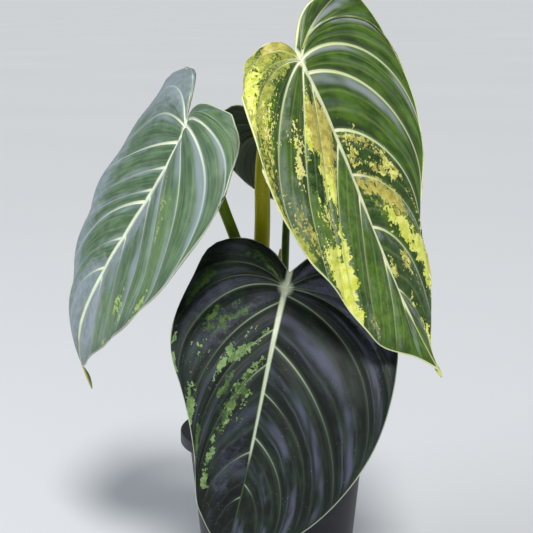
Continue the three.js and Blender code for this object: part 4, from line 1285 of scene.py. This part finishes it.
def bar(path, radius, sides=32, steps=90, flatness=1.0):
    """Points and faces of a closed bar, and for its finish each point's share along and round it."""
    shares = np.linspace(0, 1, steps + 1)
    centres = walked(spline(path, per=40, power=0.5), shares)
    tangents, first, second = carried_frames(centres)
    turns = np.linspace(0, 2 * math.pi, sides, endpoint=False)
    radii = np.array([[radius(share, turn) for turn in turns] for share in shares])[..., None]
    outward = np.cos(turns)[None, :, None] * first[:, None]
    outward = outward + np.sin(turns)[None, :, None] * second[:, None] * flatness
    rings = centres[:, None] + radii * outward
    bulge = radii[[0, -1]].mean(axis=(1, 2)) * END_BULGE
    ends = np.array([centres[0] - tangents[0] * bulge[0], centres[-1] + tangents[-1] * bulge[1]])
    points = np.vstack([rings.reshape(-1, 3), ends])
    faces = []
    for i in range(steps):
        for j in range(sides):
            k = (j + 1) % sides
            faces.append((i * sides + j, i * sides + k, (i + 1) * sides + k, (i + 1) * sides + j))
    first_end, last_end, last_ring = len(points) - 2, len(points) - 1, steps * sides
    for j in range(sides):
        k = (j + 1) % sides
        faces.append((first_end, k, j))
        faces.append((last_end, last_ring + j, last_ring + k))
    share = np.repeat(shares, sides)
    around = np.tile(np.stack([np.cos(turns), np.sin(turns)], -1), (steps + 1, 1))
    grown = np.column_stack([share, around])
    return points, faces, np.vstack([grown, (0, 0, 0), (1, 0, 0)])


print("a bar has", len(bar([(0, 0, 0), (0, 0, 9)], lambda share, turn: 1)[1]), "faces")

# %% [markdown]
# A stalk is smooth and waxy, with long fine fibres under its skin, a lighter streak down one side and
# small pale dots. Its finish stretches noise along the stalk: the bar's own coordinates make that easy.

# %% Finish of the stalks
STEM_GREEN = colour(86, 98, 40)
STALK_ROUGHNESS, STALK_COAT_ROUGHNESS = 0.38, 0.3
STALK_DOTS = 0.5  # how much the pale dots show
FOOT_SPAN = (0.04, 0.22)  # between these shares of its length a stalk changes from the stem's green
STALK_LOOKS = {  # a dark and a light colour, the tip's, and the gloss
    "left": (colour(92, 114, 4), colour(166, 186, 30), colour(176, 190, 120), 0.2),
    "right": (colour(170, 168, 6), colour(212, 210, 24), colour(206, 206, 110), 0.2),
    "front": (colour(146, 178, 46), colour(200, 224, 86), colour(200, 212, 150), 0.2),
    "back": (colour(66, 92, 22), colour(108, 136, 40), colour(130, 150, 70), 0.4),
}


def stalk_finish(name, dark, light, tip, gloss):
    f = Finish(name, Specular_IOR_Level=gloss, Coat_Roughness=STALK_COAT_ROUGHNESS)
    whole, along, across, _ = f.attribute("grown")
    fibres = f.noise(f.stretched(whole, 3, 9, 9), detail=4, roughness=0.65)
    stripe = f.rise(across + (fibres - 0.5) * 0.9, 0.1, 0.9)
    skin = f.mix(dark, light, f.rise(fibres * 0.6 + stripe * 0.5, 0.3, 0.72))
    skin = f.mix(skin, tip, f.rise(along, 0.9, 1.0))
    skin = f.mix(STEM_GREEN, skin, f.rise(along + (fibres - 0.5) * 0.1, *FOOT_SPAN))
    speck = f.noise(f.position(), scale=900, detail=1)
    skin = f.mix(skin, tip, f.rise(speck, 0.68, 0.76) * STALK_DOTS)
    lines = f.noise(f.stretched(whole, 8, 22, 22), detail=2)
    f.set(Base_Color=skin, Roughness=STALK_ROUGHNESS + (speck - 0.5) * 0.12, Coat_Weight=fibres * 0.1)
    f.set(Normal=f.bump(lines * 0.6 + speck * 0.3, 0.15, 0.5))
    return f


stalk_finishes = {name: stalk_finish(f"stalk_{name}", *look) for name, look in STALK_LOOKS.items()}
print("finishes of the stalks:", list(stalk_finishes))

# %% [markdown]
# Each stalk starts inside the stem, follows its leaf's own points and comes up to the blade from behind,
# where it thickens to a collar. A shallow groove runs along one side.

# %% Make the stalks
STALK_END = 1.1  # how far under the blade's face the stalk's middle ends
COLLAR = 0.7  # how much thicker a stalk is at its blade
COLLAR_AT, COLLAR_REACH = 0.93, 0.045  # shares of the stalk's length
FOOT_THICKNESS, FOOT_REACH = 0.6, 0.1  # a stalk is thinner at its foot
NARROW_FROM, NARROWING = 0.965, 0.45  # beyond the collar it narrows again, by this share
GROOVE_DEPTH, GROOVE_REACH = 0.05, 0.5
STALK_ROOT = 11  # how far below its first point a stalk starts, hidden in the stem
LAST_BEND = (7, 4)  # how far behind and below its end a stalk has its last bend
STEM_PATH = ((0, 0, 52), (-0.5, 1, 75), (-1, 2, 98), (-2, 3, 121))
STEM_HEIGHTS = [point[2] for point in STEM_PATH]


def stalk_path(blade):
    """From the stem's middle to just inside the blade, coming in from behind its face."""
    joint, face = np.array(blade.leaf["joint"], float), blade.face[0]
    behind = joint - face * LAST_BEND[0] - np.array([0, 0, LAST_BEND[1]])
    low = blade.leaf["stalk"][0][2] - STALK_ROOT
    root = [np.interp(low, STEM_HEIGHTS, values) for values in zip(*STEM_PATH)]
    return [tuple(root), *blade.leaf["stalk"], tuple(behind), tuple(joint - face * STALK_END)]


def stalk_radius(values):
    places = np.linspace(0, 1, len(values))

    def radius(share, turn):
        foot = FOOT_THICKNESS + (1 - FOOT_THICKNESS) * ease(share / FOOT_REACH)
        collar = COLLAR * bell(share - COLLAR_AT, COLLAR_REACH)
        narrowing = 1 - NARROWING * ease((share - NARROW_FROM) / (1 - NARROW_FROM))
        groove = 1 - GROOVE_DEPTH * bell(turn - math.pi / 2, GROOVE_REACH)
        return (np.interp(share, places, values) * foot + collar) * narrowing * groove

    return radius


for name, blade in blades.items():
    points, faces, grown = bar(stalk_path(blade), stalk_radius(blade.leaf["stalk_radius"]))
    make_piece(
        f"stalk_{name}", points, faces, f"leaf_{name}_petiole",
        [stalk_finishes[name]], attributes={"grown": grown},
    )

# %% [markdown]
# The stem is short and upright. It swells at each leaf scar, and three blunt root nubs come out near the
# soil. It could be lathed, but as a bar it can lean a little, and its nubs are bars as well.

# %% Shape of the stem
STEM_RADIUS = (6.5, 5)
SCAR_SWELL, SCAR_REACH = 0.8, 1.8
STEM_RIBS = ((0.12, 7, 0.05), (0.08, 13, 0))  # height, number round the stem, and slant
NUB_RADIUS, NUB_TAPER = 1.5, 0.5
STEM_NODES = (76, 88, 99, 110)
ROOT_NUBS = (((3, -2, 80), (9, -7, 73)), ((-4, -2, 79), (-10, -4, 71)), ((2, 5, 84), (8, 9, 74)))


def stem_radius(share, turn):
    z = STEM_HEIGHTS[0] + (STEM_HEIGHTS[-1] - STEM_HEIGHTS[0]) * share
    swell = SCAR_SWELL * sum(bell(z - node, SCAR_REACH) for node in STEM_NODES)
    ribs = sum(height * math.sin(turn * count + z * slant) for height, count, slant in STEM_RIBS)
    return STEM_RADIUS[0] + (STEM_RADIUS[1] - STEM_RADIUS[0]) * share + swell + ribs


def nub_radius(share, turn):
    return NUB_RADIUS - NUB_TAPER * share


def joined(parts):
    """Several parts, each of points, faces and what its points carry, as one."""
    points, faces, grown, start = [], [], [], 0
    for part_points, part_faces, part_grown in parts:
        faces += [tuple(v + start for v in face) for face in part_faces]
        start += len(part_points)
        points.append(part_points)
        grown.append(part_grown)
    return np.vstack(points), faces, np.vstack(grown)


stem_parts = [bar(STEM_PATH, stem_radius, sides=48, steps=140)]
stem_parts += [bar(path, nub_radius, sides=16, steps=10) for path in ROOT_NUBS]
print("bars of the stem:", len(stem_parts))

# %% [markdown]
# The skin is olive, with a ring of brown cork at each scar, and more cork low down, where it is oldest.
# The cork's noise is laid out in space, so that it doesn't stretch along the bar.

# %% Finish of the stem
CORK = colour(104, 78, 44)
CORK_SPAN = (0.03, 0.012)  # a ring fades in between these distances from its scar, as shares of the stem


def stem_finish():
    f = Finish("stem_skin", Specular_IOR_Level=0.4)
    whole, along, *_ = f.attribute("grown")
    fibres = f.noise(f.stretched(whole, 6, 5, 5), scale=2, detail=5, roughness=0.7)
    skin = f.mix(colour(62, 74, 28), colour(108, 120, 52), f.rise(fibres, 0.35, 0.65))
    cork = f.noise(f.stretched(f.position(), 160, 160, 420), detail=4, roughness=0.7)
    scar = None
    for node in STEM_NODES:
        share = (node - STEM_HEIGHTS[0]) / (STEM_HEIGHTS[-1] - STEM_HEIGHTS[0])
        ring = f.rise(abs(along - share) + (cork - 0.5) * 0.03, *CORK_SPAN)
        scar = ring if scar is None else scar.greater(ring)
    low = f.rise(along + (cork - 0.5) * 0.3, 0.55, 0.3)
    skin = f.mix(skin, CORK, scar.greater(low) * 0.85)
    skin = f.mix(skin, colour(150, 128, 88), f.rise(cork, 0.62, 0.7) * 0.6)
    f.set(Base_Color=skin, Roughness=0.5 + cork * 0.25, Normal=f.bump(cork + fibres * 0.5, 0.35, 0.7))
    return f


points, faces, grown = joined(stem_parts)
make_piece("stem_and_roots", points, faces, "stem", [stem_finish()], attributes={"grown": grown})

# %% [markdown]
# The sheath is the furled next leaf: a flattened spike, pale yellow-green, with a seam down its length.
# It is one more bar, with its radius given at a few places and pressed in along the seam.

# %% Sheath
SHEATH_PATH = ((-2, 1, 112), (-1.5, -1, 130), (0.5, -1.5, 148), (1.5, -1.5, 163))
SHEATH_AT, SHEATH_RADII = (0, 1 / 3, 2 / 3, 0.9, 1), (3, 3.4, 2.8, 1.2, 0.3)
SHEATH_FLATNESS = 0.7
SEAM_DEPTH, SEAM_REACH = 0.25, 0.22


def sheath_radius(share, turn):
    size = np.interp(share, SHEATH_AT, SHEATH_RADII)
    return size - SEAM_DEPTH * bell(turn - math.pi, SEAM_REACH) * min(1, size / 2)


def sheath_finish():
    f = Finish("sheath_skin", Specular_IOR_Level=0.5)
    whole, along, *_ = f.attribute("grown")
    fibres = f.noise(f.stretched(whole, 3, 12, 12), detail=4, roughness=0.6)
    skin = f.mix(colour(140, 164, 54), colour(204, 216, 112), f.rise(fibres * 0.5 + along * 0.6, 0.3, 0.8))
    skin = f.mix(skin, colour(236, 236, 178), f.rise(along, 0.72, 1.0))
    f.set(Base_Color=skin, Roughness=0.38 + fibres * 0.1, Normal=f.bump(fibres, 0.2, 0.6))
    return f


points, faces, grown = bar(SHEATH_PATH, sheath_radius, sides=40, steps=80, flatness=SHEATH_FLATNESS)
make_piece(
    "furled_leaf", points, faces, "new_leaf_sheath",
    [sheath_finish()], attributes={"grown": grown},
)

# %% [markdown]
# ## The pot
# A moulded nursery pot: a tapered wall, a wide lip, a drained floor with six holes. Its outline is drawn
# once as a half section with rounded corners and turned about the axis. A Bevel modifier would round the
# corners too, but by the same amount everywhere.

# %% Section of the pot
POT_HEIGHT, POT_BASE, POT_TOP, POT_WALL = 80, 32, 40.5, 1.6
POT_FLOOR = 4.8  # its height inside
POT_RECESS, POT_BOSS, POT_FOOT = 3, 9, 3.5  # underneath: the ring's depth, its middle and its foot
POT_SLOPE = 1.5  # how far the ring's sides lean
LIP_RADIUS, LIP_HEIGHT = 44, 6
BAND_LOW, BAND_HIGH, BAND_SLOPE, BAND_RISE = 3, 9, 0.8, 0.35  # the low ring near the foot
POT_SIDES = 160


def pot_wall(z):
    return POT_BASE + (POT_TOP - POT_BASE) * z / POT_HEIGHT


def rounded(corners, steps=5):
    """A section with its corners rounded. A corner is its radius, its height and the rounding."""
    found = []
    for i, (r, z, size) in enumerate(corners):
        here = np.array([r, z], float)
        if size == 0:
            found.append(here)
            continue
        before = np.array(corners[i - 1][:2], float)
        after = np.array(corners[(i + 1) % len(corners)][:2], float)
        start, end = here + unit(before - here) * size, here + unit(after - here) * size
        for t in np.linspace(0, 1, steps):
            found.append((1 - t) ** 2 * start + 2 * t * (1 - t) * here + t**2 * end)
    return found


def turned(section, sides):
    """A closed shape from a section that starts and ends on the axis."""
    turns = np.linspace(0, 2 * math.pi, sides, endpoint=False)
    points, rings = [], []
    for r, z in section:
        if r < 1e-6:
            rings.append([len(points)] * sides)
            points.append((0, 0, z))
        else:
            rings.append(list(range(len(points), len(points) + sides)))
            points += [(r * math.cos(a), r * math.sin(a), z) for a in turns]
    faces = []
    for below, above in zip(rings, rings[1:]):
        for j in range(sides):
            k = (j + 1) % sides
            faces.append(without_repeats((below[j], below[k], above[k], above[j])))
    return points, [face for face in faces if face]


lip_foot = POT_HEIGHT - LIP_HEIGHT
foot_inside = POT_BASE - POT_FOOT
band_start, band_end = BAND_LOW - BAND_SLOPE, BAND_HIGH + BAND_SLOPE
pot_section = rounded([
    (0, 0, 0), (POT_BOSS, 0, 0.4), (POT_BOSS + POT_SLOPE, POT_RECESS, 0.4),
    (foot_inside - POT_SLOPE, POT_RECESS, 0.4), (foot_inside, 0, 0.4), (POT_BASE, 0, 0.8),
    (pot_wall(band_start), band_start, 0.4), (pot_wall(BAND_LOW) + BAND_RISE, BAND_LOW, 0.3),
    (pot_wall(BAND_HIGH) + BAND_RISE, BAND_HIGH, 0.3), (pot_wall(band_end), band_end, 0.4),
    (pot_wall(lip_foot), lip_foot, 0.5), (LIP_RADIUS, lip_foot, 0.9), (LIP_RADIUS, POT_HEIGHT, 1.1),
    (pot_wall(POT_HEIGHT) - POT_WALL, POT_HEIGHT, 0.7),
    (pot_wall(POT_FLOOR) - POT_WALL, POT_FLOOR, 0.8), (0, POT_FLOOR, 0),
])
print("points of the pot's section:", len(pot_section))

# %% [markdown]
# Water leaves through six holes in the floor. A Boolean modifier cuts them, as on the packed model. Its
# result is kept as plain mesh, and the cutters are deleted.

# %% Drain holes
DRAIN_HOLES, DRAIN_RADIUS, DRAIN_CIRCLE = 6, 3.2, 18.5
CUTTER_LOW, CUTTER_HIGH, CUTTER_SIDES = -5, 9, 40


def bored(piece, cutters):
    """Cuts the cutters out of the piece and leaves plain mesh."""
    for i, cutter in enumerate(cutters):
        modifier = piece.modifiers.new(f"bore_{i}", "BOOLEAN")
        modifier.object = cutter
        modifier.operation = "DIFFERENCE"
        modifier.solver = "EXACT"
    evaluated = piece.evaluated_get(bpy.context.evaluated_depsgraph_get())
    mesh = bpy.data.meshes.new_from_object(evaluated)
    piece.modifiers.clear()
    old, piece.data = piece.data, mesh
    bpy.data.meshes.remove(old)
    for cutter in cutters:
        bpy.data.objects.remove(cutter)


def drain_cutters():
    ends = [(DRAIN_RADIUS, CUTTER_LOW), (DRAIN_RADIUS, CUTTER_HIGH)]
    points, faces = turned([(0, CUTTER_LOW), *ends, (0, CUTTER_HIGH)], CUTTER_SIDES)
    cutters = []
    for i in range(DRAIN_HOLES):
        turn = 2 * math.pi * i / DRAIN_HOLES
        centre = np.array([math.cos(turn) * DRAIN_CIRCLE, math.sin(turn) * DRAIN_CIRCLE, 0])
        mesh = bpy.data.meshes.new("drain")
        mesh.from_pydata(((np.array(points) + centre) * MM).tolist(), [], faces)
        cutter = bpy.data.objects.new("drain", mesh)
        bpy.context.scene.collection.objects.link(cutter)
        cutters.append(cutter)
    return cutters


print("drain holes:", DRAIN_HOLES)

# %% [markdown]
# Black plastic is never quite black nor quite even: it has a fine moulded grain, faint flow marks round
# the wall, pale scuffs and a little dust low down.

# %% Finish of the pot
POT_DUST, POT_SCUFF = colour(96, 88, 78), colour(86, 88, 96)
DUSTY_BELOW = 0.03  # metres above the table


def pot_finish():
    f = Finish("pot_plastic", Specular_IOR_Level=0.3)
    place = f.position()
    height = f.node("SeparateXYZ", {}, {0: place}, output=2)
    grain = f.noise(place, scale=1400, detail=2)
    cloud = f.noise(f.stretched(place, 22, 22, 60), detail=4, roughness=0.6)
    flow = f.noise(f.stretched(place, 9, 9, 900), detail=2)
    plastic = f.mix(colour(24, 25, 30), colour(42, 44, 52), f.rise(cloud, 0.35, 0.7))
    dust = f.rise(cloud * 0.6 + (DUSTY_BELOW - height) * 9, 0.45, 0.8) * 0.35
    plastic = f.mix(plastic, POT_DUST, dust)
    scuffs = f.noise(f.stretched(place, 240, 240, 900), detail=3, roughness=0.7)
    plastic = f.mix(plastic, POT_SCUFF, f.rise(scuffs, 0.66, 0.74) * 0.35)
    rough = 0.42 + cloud * 0.16 + dust * 0.3
    f.set(Base_Color=plastic, Roughness=rough, Normal=f.bump(grain * 0.35 + flow * 0.4, 0.12, 0.5))
    return f


points, faces = turned(pot_section, POT_SIDES)
pot = make_piece("nursery_pot", points, faces, "pot", [pot_finish()])
bored(pot, drain_cutters())
pot.data.set_sharp_from_angle(angle=math.radians(40))
print("pot after boring:", len(pot.data.polygons), "faces")

# %% [markdown]
# ## Bark mix
# The pot is filled with chunky bark, coir fibre and a few grains of pumice. The ground between them is a
# disc of rings pushed up and down by the same waves as the packed model, with finer lumps from a few
# more waves. Noise on the surface alone would leave its silhouette flat.

# %% Ground of the bark mix
SOIL_LEVEL, SOIL_MOUND, SOIL_BUMPS, SECOND_BUMPS = 69, 3, 1.1, 0.6
SOIL_RINGS, SOIL_SIDES = 60, 160
RIM_GAP, FLOOR_GAP, FOOT_GAP = 0.3, 0.3, 0.45  # between the mix and the pot


def soil_height(x, y):
    out = np.hypot(x, y) / POT_TOP
    bumps = np.sin(x * 0.41 + 1.3) * np.cos(y * 0.37) + SECOND_BUMPS * np.sin(x * 0.83 - y * 0.71)
    return SOIL_LEVEL + SOIL_MOUND * (1 - out) ** 2 + SOIL_BUMPS * bumps / (1 + SECOND_BUMPS)


def lumps(x, y):
    """Fine unevenness from a few waves that don't repeat together."""
    a = np.sin(x * 1.9 + np.sin(y * 1.3) * 1.7) * np.sin(y * 2.1 + np.sin(x * 1.1) * 1.4)
    b = np.sin(x * 4.1 + y * 1.7) * np.sin(y * 3.7 - x * 2.3)
    return 0.45 * a + 0.2 * b


def soil_ground():
    turns = np.linspace(0, 2 * math.pi, SOIL_SIDES, endpoint=False)
    edge = pot_wall(SOIL_LEVEL) - POT_WALL - RIM_GAP
    points = [(0, 0, float(soil_height(0.0, 0.0)))]
    for i in range(1, SOIL_RINGS + 1):
        r = edge * i / SOIL_RINGS
        x, y = r * np.cos(turns), r * np.sin(turns)
        points += np.column_stack([x, y, soil_height(x, y) + lumps(x, y)]).tolist()
    low = POT_FLOOR + FLOOR_GAP
    r = pot_wall(low) - POT_WALL - FOOT_GAP
    points += np.column_stack([r * np.cos(turns), r * np.sin(turns), np.full(SOIL_SIDES, low)]).tolist()
    points.append((0, 0, low))
    ring = lambda i, j: 1 + (i - 1) * SOIL_SIDES + j % SOIL_SIDES
    last, foot = SOIL_RINGS + 1, len(points) - 1
    faces = []
    for j in range(SOIL_SIDES):
        faces.append((0, ring(1, j), ring(1, j + 1)))
        for i in range(1, last):
            faces.append((ring(i, j), ring(i + 1, j), ring(i + 1, j + 1), ring(i, j + 1)))
        faces.append((foot, ring(last, j + 1), ring(last, j)))
    return np.array(points), faces, np.zeros((len(points), 3))


print("highest ground in mm:", round(max(point[2] for point in soil_ground()[0]), 1))

# %% [markdown]
# A chip of bark is a block with uneven corners. Each of its faces has nine parts, so that rounding it off
# and pushing its points about leave a split, broken look. A chip carries two random numbers for its
# colour.

# %% A chip of bark
CHIP_SIZES = ((4, 9), (3, 6), (1.6, 3.6))
CHIP_STEPS = 3
CHIP_ROUNDING, CHIP_UNEVENNESS, CHIP_TILT = 0.16, 0.035, 0.35


def chip_grid():
    """The outer points of a block that is cut into equal steps, and the faces between them."""
    grid = np.linspace(-0.5, 0.5, CHIP_STEPS + 1)
    corners = {}
    for i, a in enumerate(grid):
        for j, b in enumerate(grid):
            for k, c in enumerate(grid):
                if {i, j, k} & {0, CHIP_STEPS}:
                    corners[(i, j, k)] = (a, b, c)
    numbers = {key: n for n, key in enumerate(corners)}
    faces = []
    for axis in range(3):
        for side in (0, CHIP_STEPS):
            for u in range(CHIP_STEPS):
                for v in range(CHIP_STEPS):
                    loop = []
                    for du, dv in ((0, 0), (1, 0), (1, 1), (0, 1)):
                        key = [0, 0, 0]
                        key[axis] = side
                        key[(axis + 1) % 3], key[(axis + 2) % 3] = u + du, v + dv
                        loop.append(numbers[tuple(key)])
                    faces.append(tuple(loop if side else reversed(loop)))
    return np.array(list(corners.values())), faces


def bark_chip(random, box):
    size = np.array([random.uniform(*sizes) for sizes in CHIP_SIZES])
    box = box * (1 - CHIP_ROUNDING * (np.abs(box * 2) ** 2).sum(1, keepdims=True) / 3)
    box = box + random.normal(0, CHIP_UNEVENNESS, box.shape)
    tilt, turn = random.normal(0, CHIP_TILT, 2), random.uniform(0, 2 * math.pi)
    a, b = math.cos(turn), math.sin(turn)
    lean = np.array([[1, 0, -tilt[0]], [0, 1, -tilt[1]], [tilt[0], tilt[1], 1]])
    return box * size @ lean.T @ np.array([[a, b, 0], [-b, a, 0], [0, 0, 1]])


print("points of a chip:", len(chip_grid()[0]))

# %% [markdown]
# The chips lie half sunk, turned and tilted by a seeded random generator, so that each run lays them the
# same way. None reaches the wall or the stem.

# %% Lay the chips
CHIP_COUNT, CHIP_SEED = 130, 5
CHIP_WALL_GAP, CHIP_NEAREST = 1, 8  # from the wall to any chip, and from the axis to a chip's middle
CHIP_LIFT = 0.9


def lay_chips(random):
    box, faces = chip_grid()
    parts = []
    reach = pot_wall(SOIL_LEVEL) - POT_WALL - CHIP_WALL_GAP - CHIP_NEAREST
    for _ in range(CHIP_COUNT):
        chip = bark_chip(random, box)
        span = np.hypot(chip[:, 0], chip[:, 1]).max()
        out = CHIP_NEAREST + (reach - span) * math.sqrt(random.uniform(0, 1))
        turn = random.uniform(0, 2 * math.pi)
        x, y = out * math.cos(turn), out * math.sin(turn)
        chip = chip + (x, y, float(soil_height(x, y)) + random.uniform(0, CHIP_LIFT))
        shade = np.tile((1, random.uniform(0, 1), random.uniform(0, 1)), (len(chip), 1))
        parts.append((chip, faces, shade))
    return parts


chips = lay_chips(np.random.default_rng(CHIP_SEED))
print("chips laid:", len(chips))

# %% [markdown]
# Each chip of bark has its own brown, with darker patches, and about one in fourteen is pale pumice
# instead. The ground between them is dark, with lighter fibres.

# %% Finish of the bark mix
FIBRE = colour(128, 98, 66)
BARK_DARK = colour(46, 30, 21)
PUMICE_FROM = 0.93  # chips whose second random number is above this are pumice


def soil_finish():
    f = Finish("bark_mix", Specular_IOR_Level=0.3)
    _, chip, tone, other = f.attribute("shade")
    place = f.position()
    coarse = f.noise(place, scale=260, detail=5, roughness=0.7)
    grain = f.noise(f.stretched(place, 900, 260, 500), detail=4, roughness=0.7)
    ground = f.mix(colour(34, 24, 17), colour(74, 54, 38), f.rise(coarse, 0.35, 0.68))
    ground = f.mix(ground, FIBRE, f.rise(grain, 0.62, 0.7) * 0.5)
    bark = f.mix(colour(70, 44, 28), colour(140, 98, 62), f.rise(tone + (grain - 0.5) * 0.9, 0.1, 0.9))
    bark = f.mix(bark, BARK_DARK, f.rise(coarse, 0.52, 0.66) * 0.7)
    pumice = f.mix(colour(168, 158, 140), colour(206, 198, 182), coarse)
    bark = f.mix(bark, pumice, other > PUMICE_FROM)
    colours = f.mix(ground, bark, chip)
    height = coarse * 0.7 + grain * 0.5
    f.set(Base_Color=colours, Roughness=0.72 + coarse * 0.2, Normal=f.bump(height, 0.6, 0.8))
    return f


points, faces, shade = joined([soil_ground(), *chips])
make_piece("bark_mix", points, faces, "soil", [soil_finish()], attributes={"shade": shade})

# %% [markdown]

# %% [markdown]
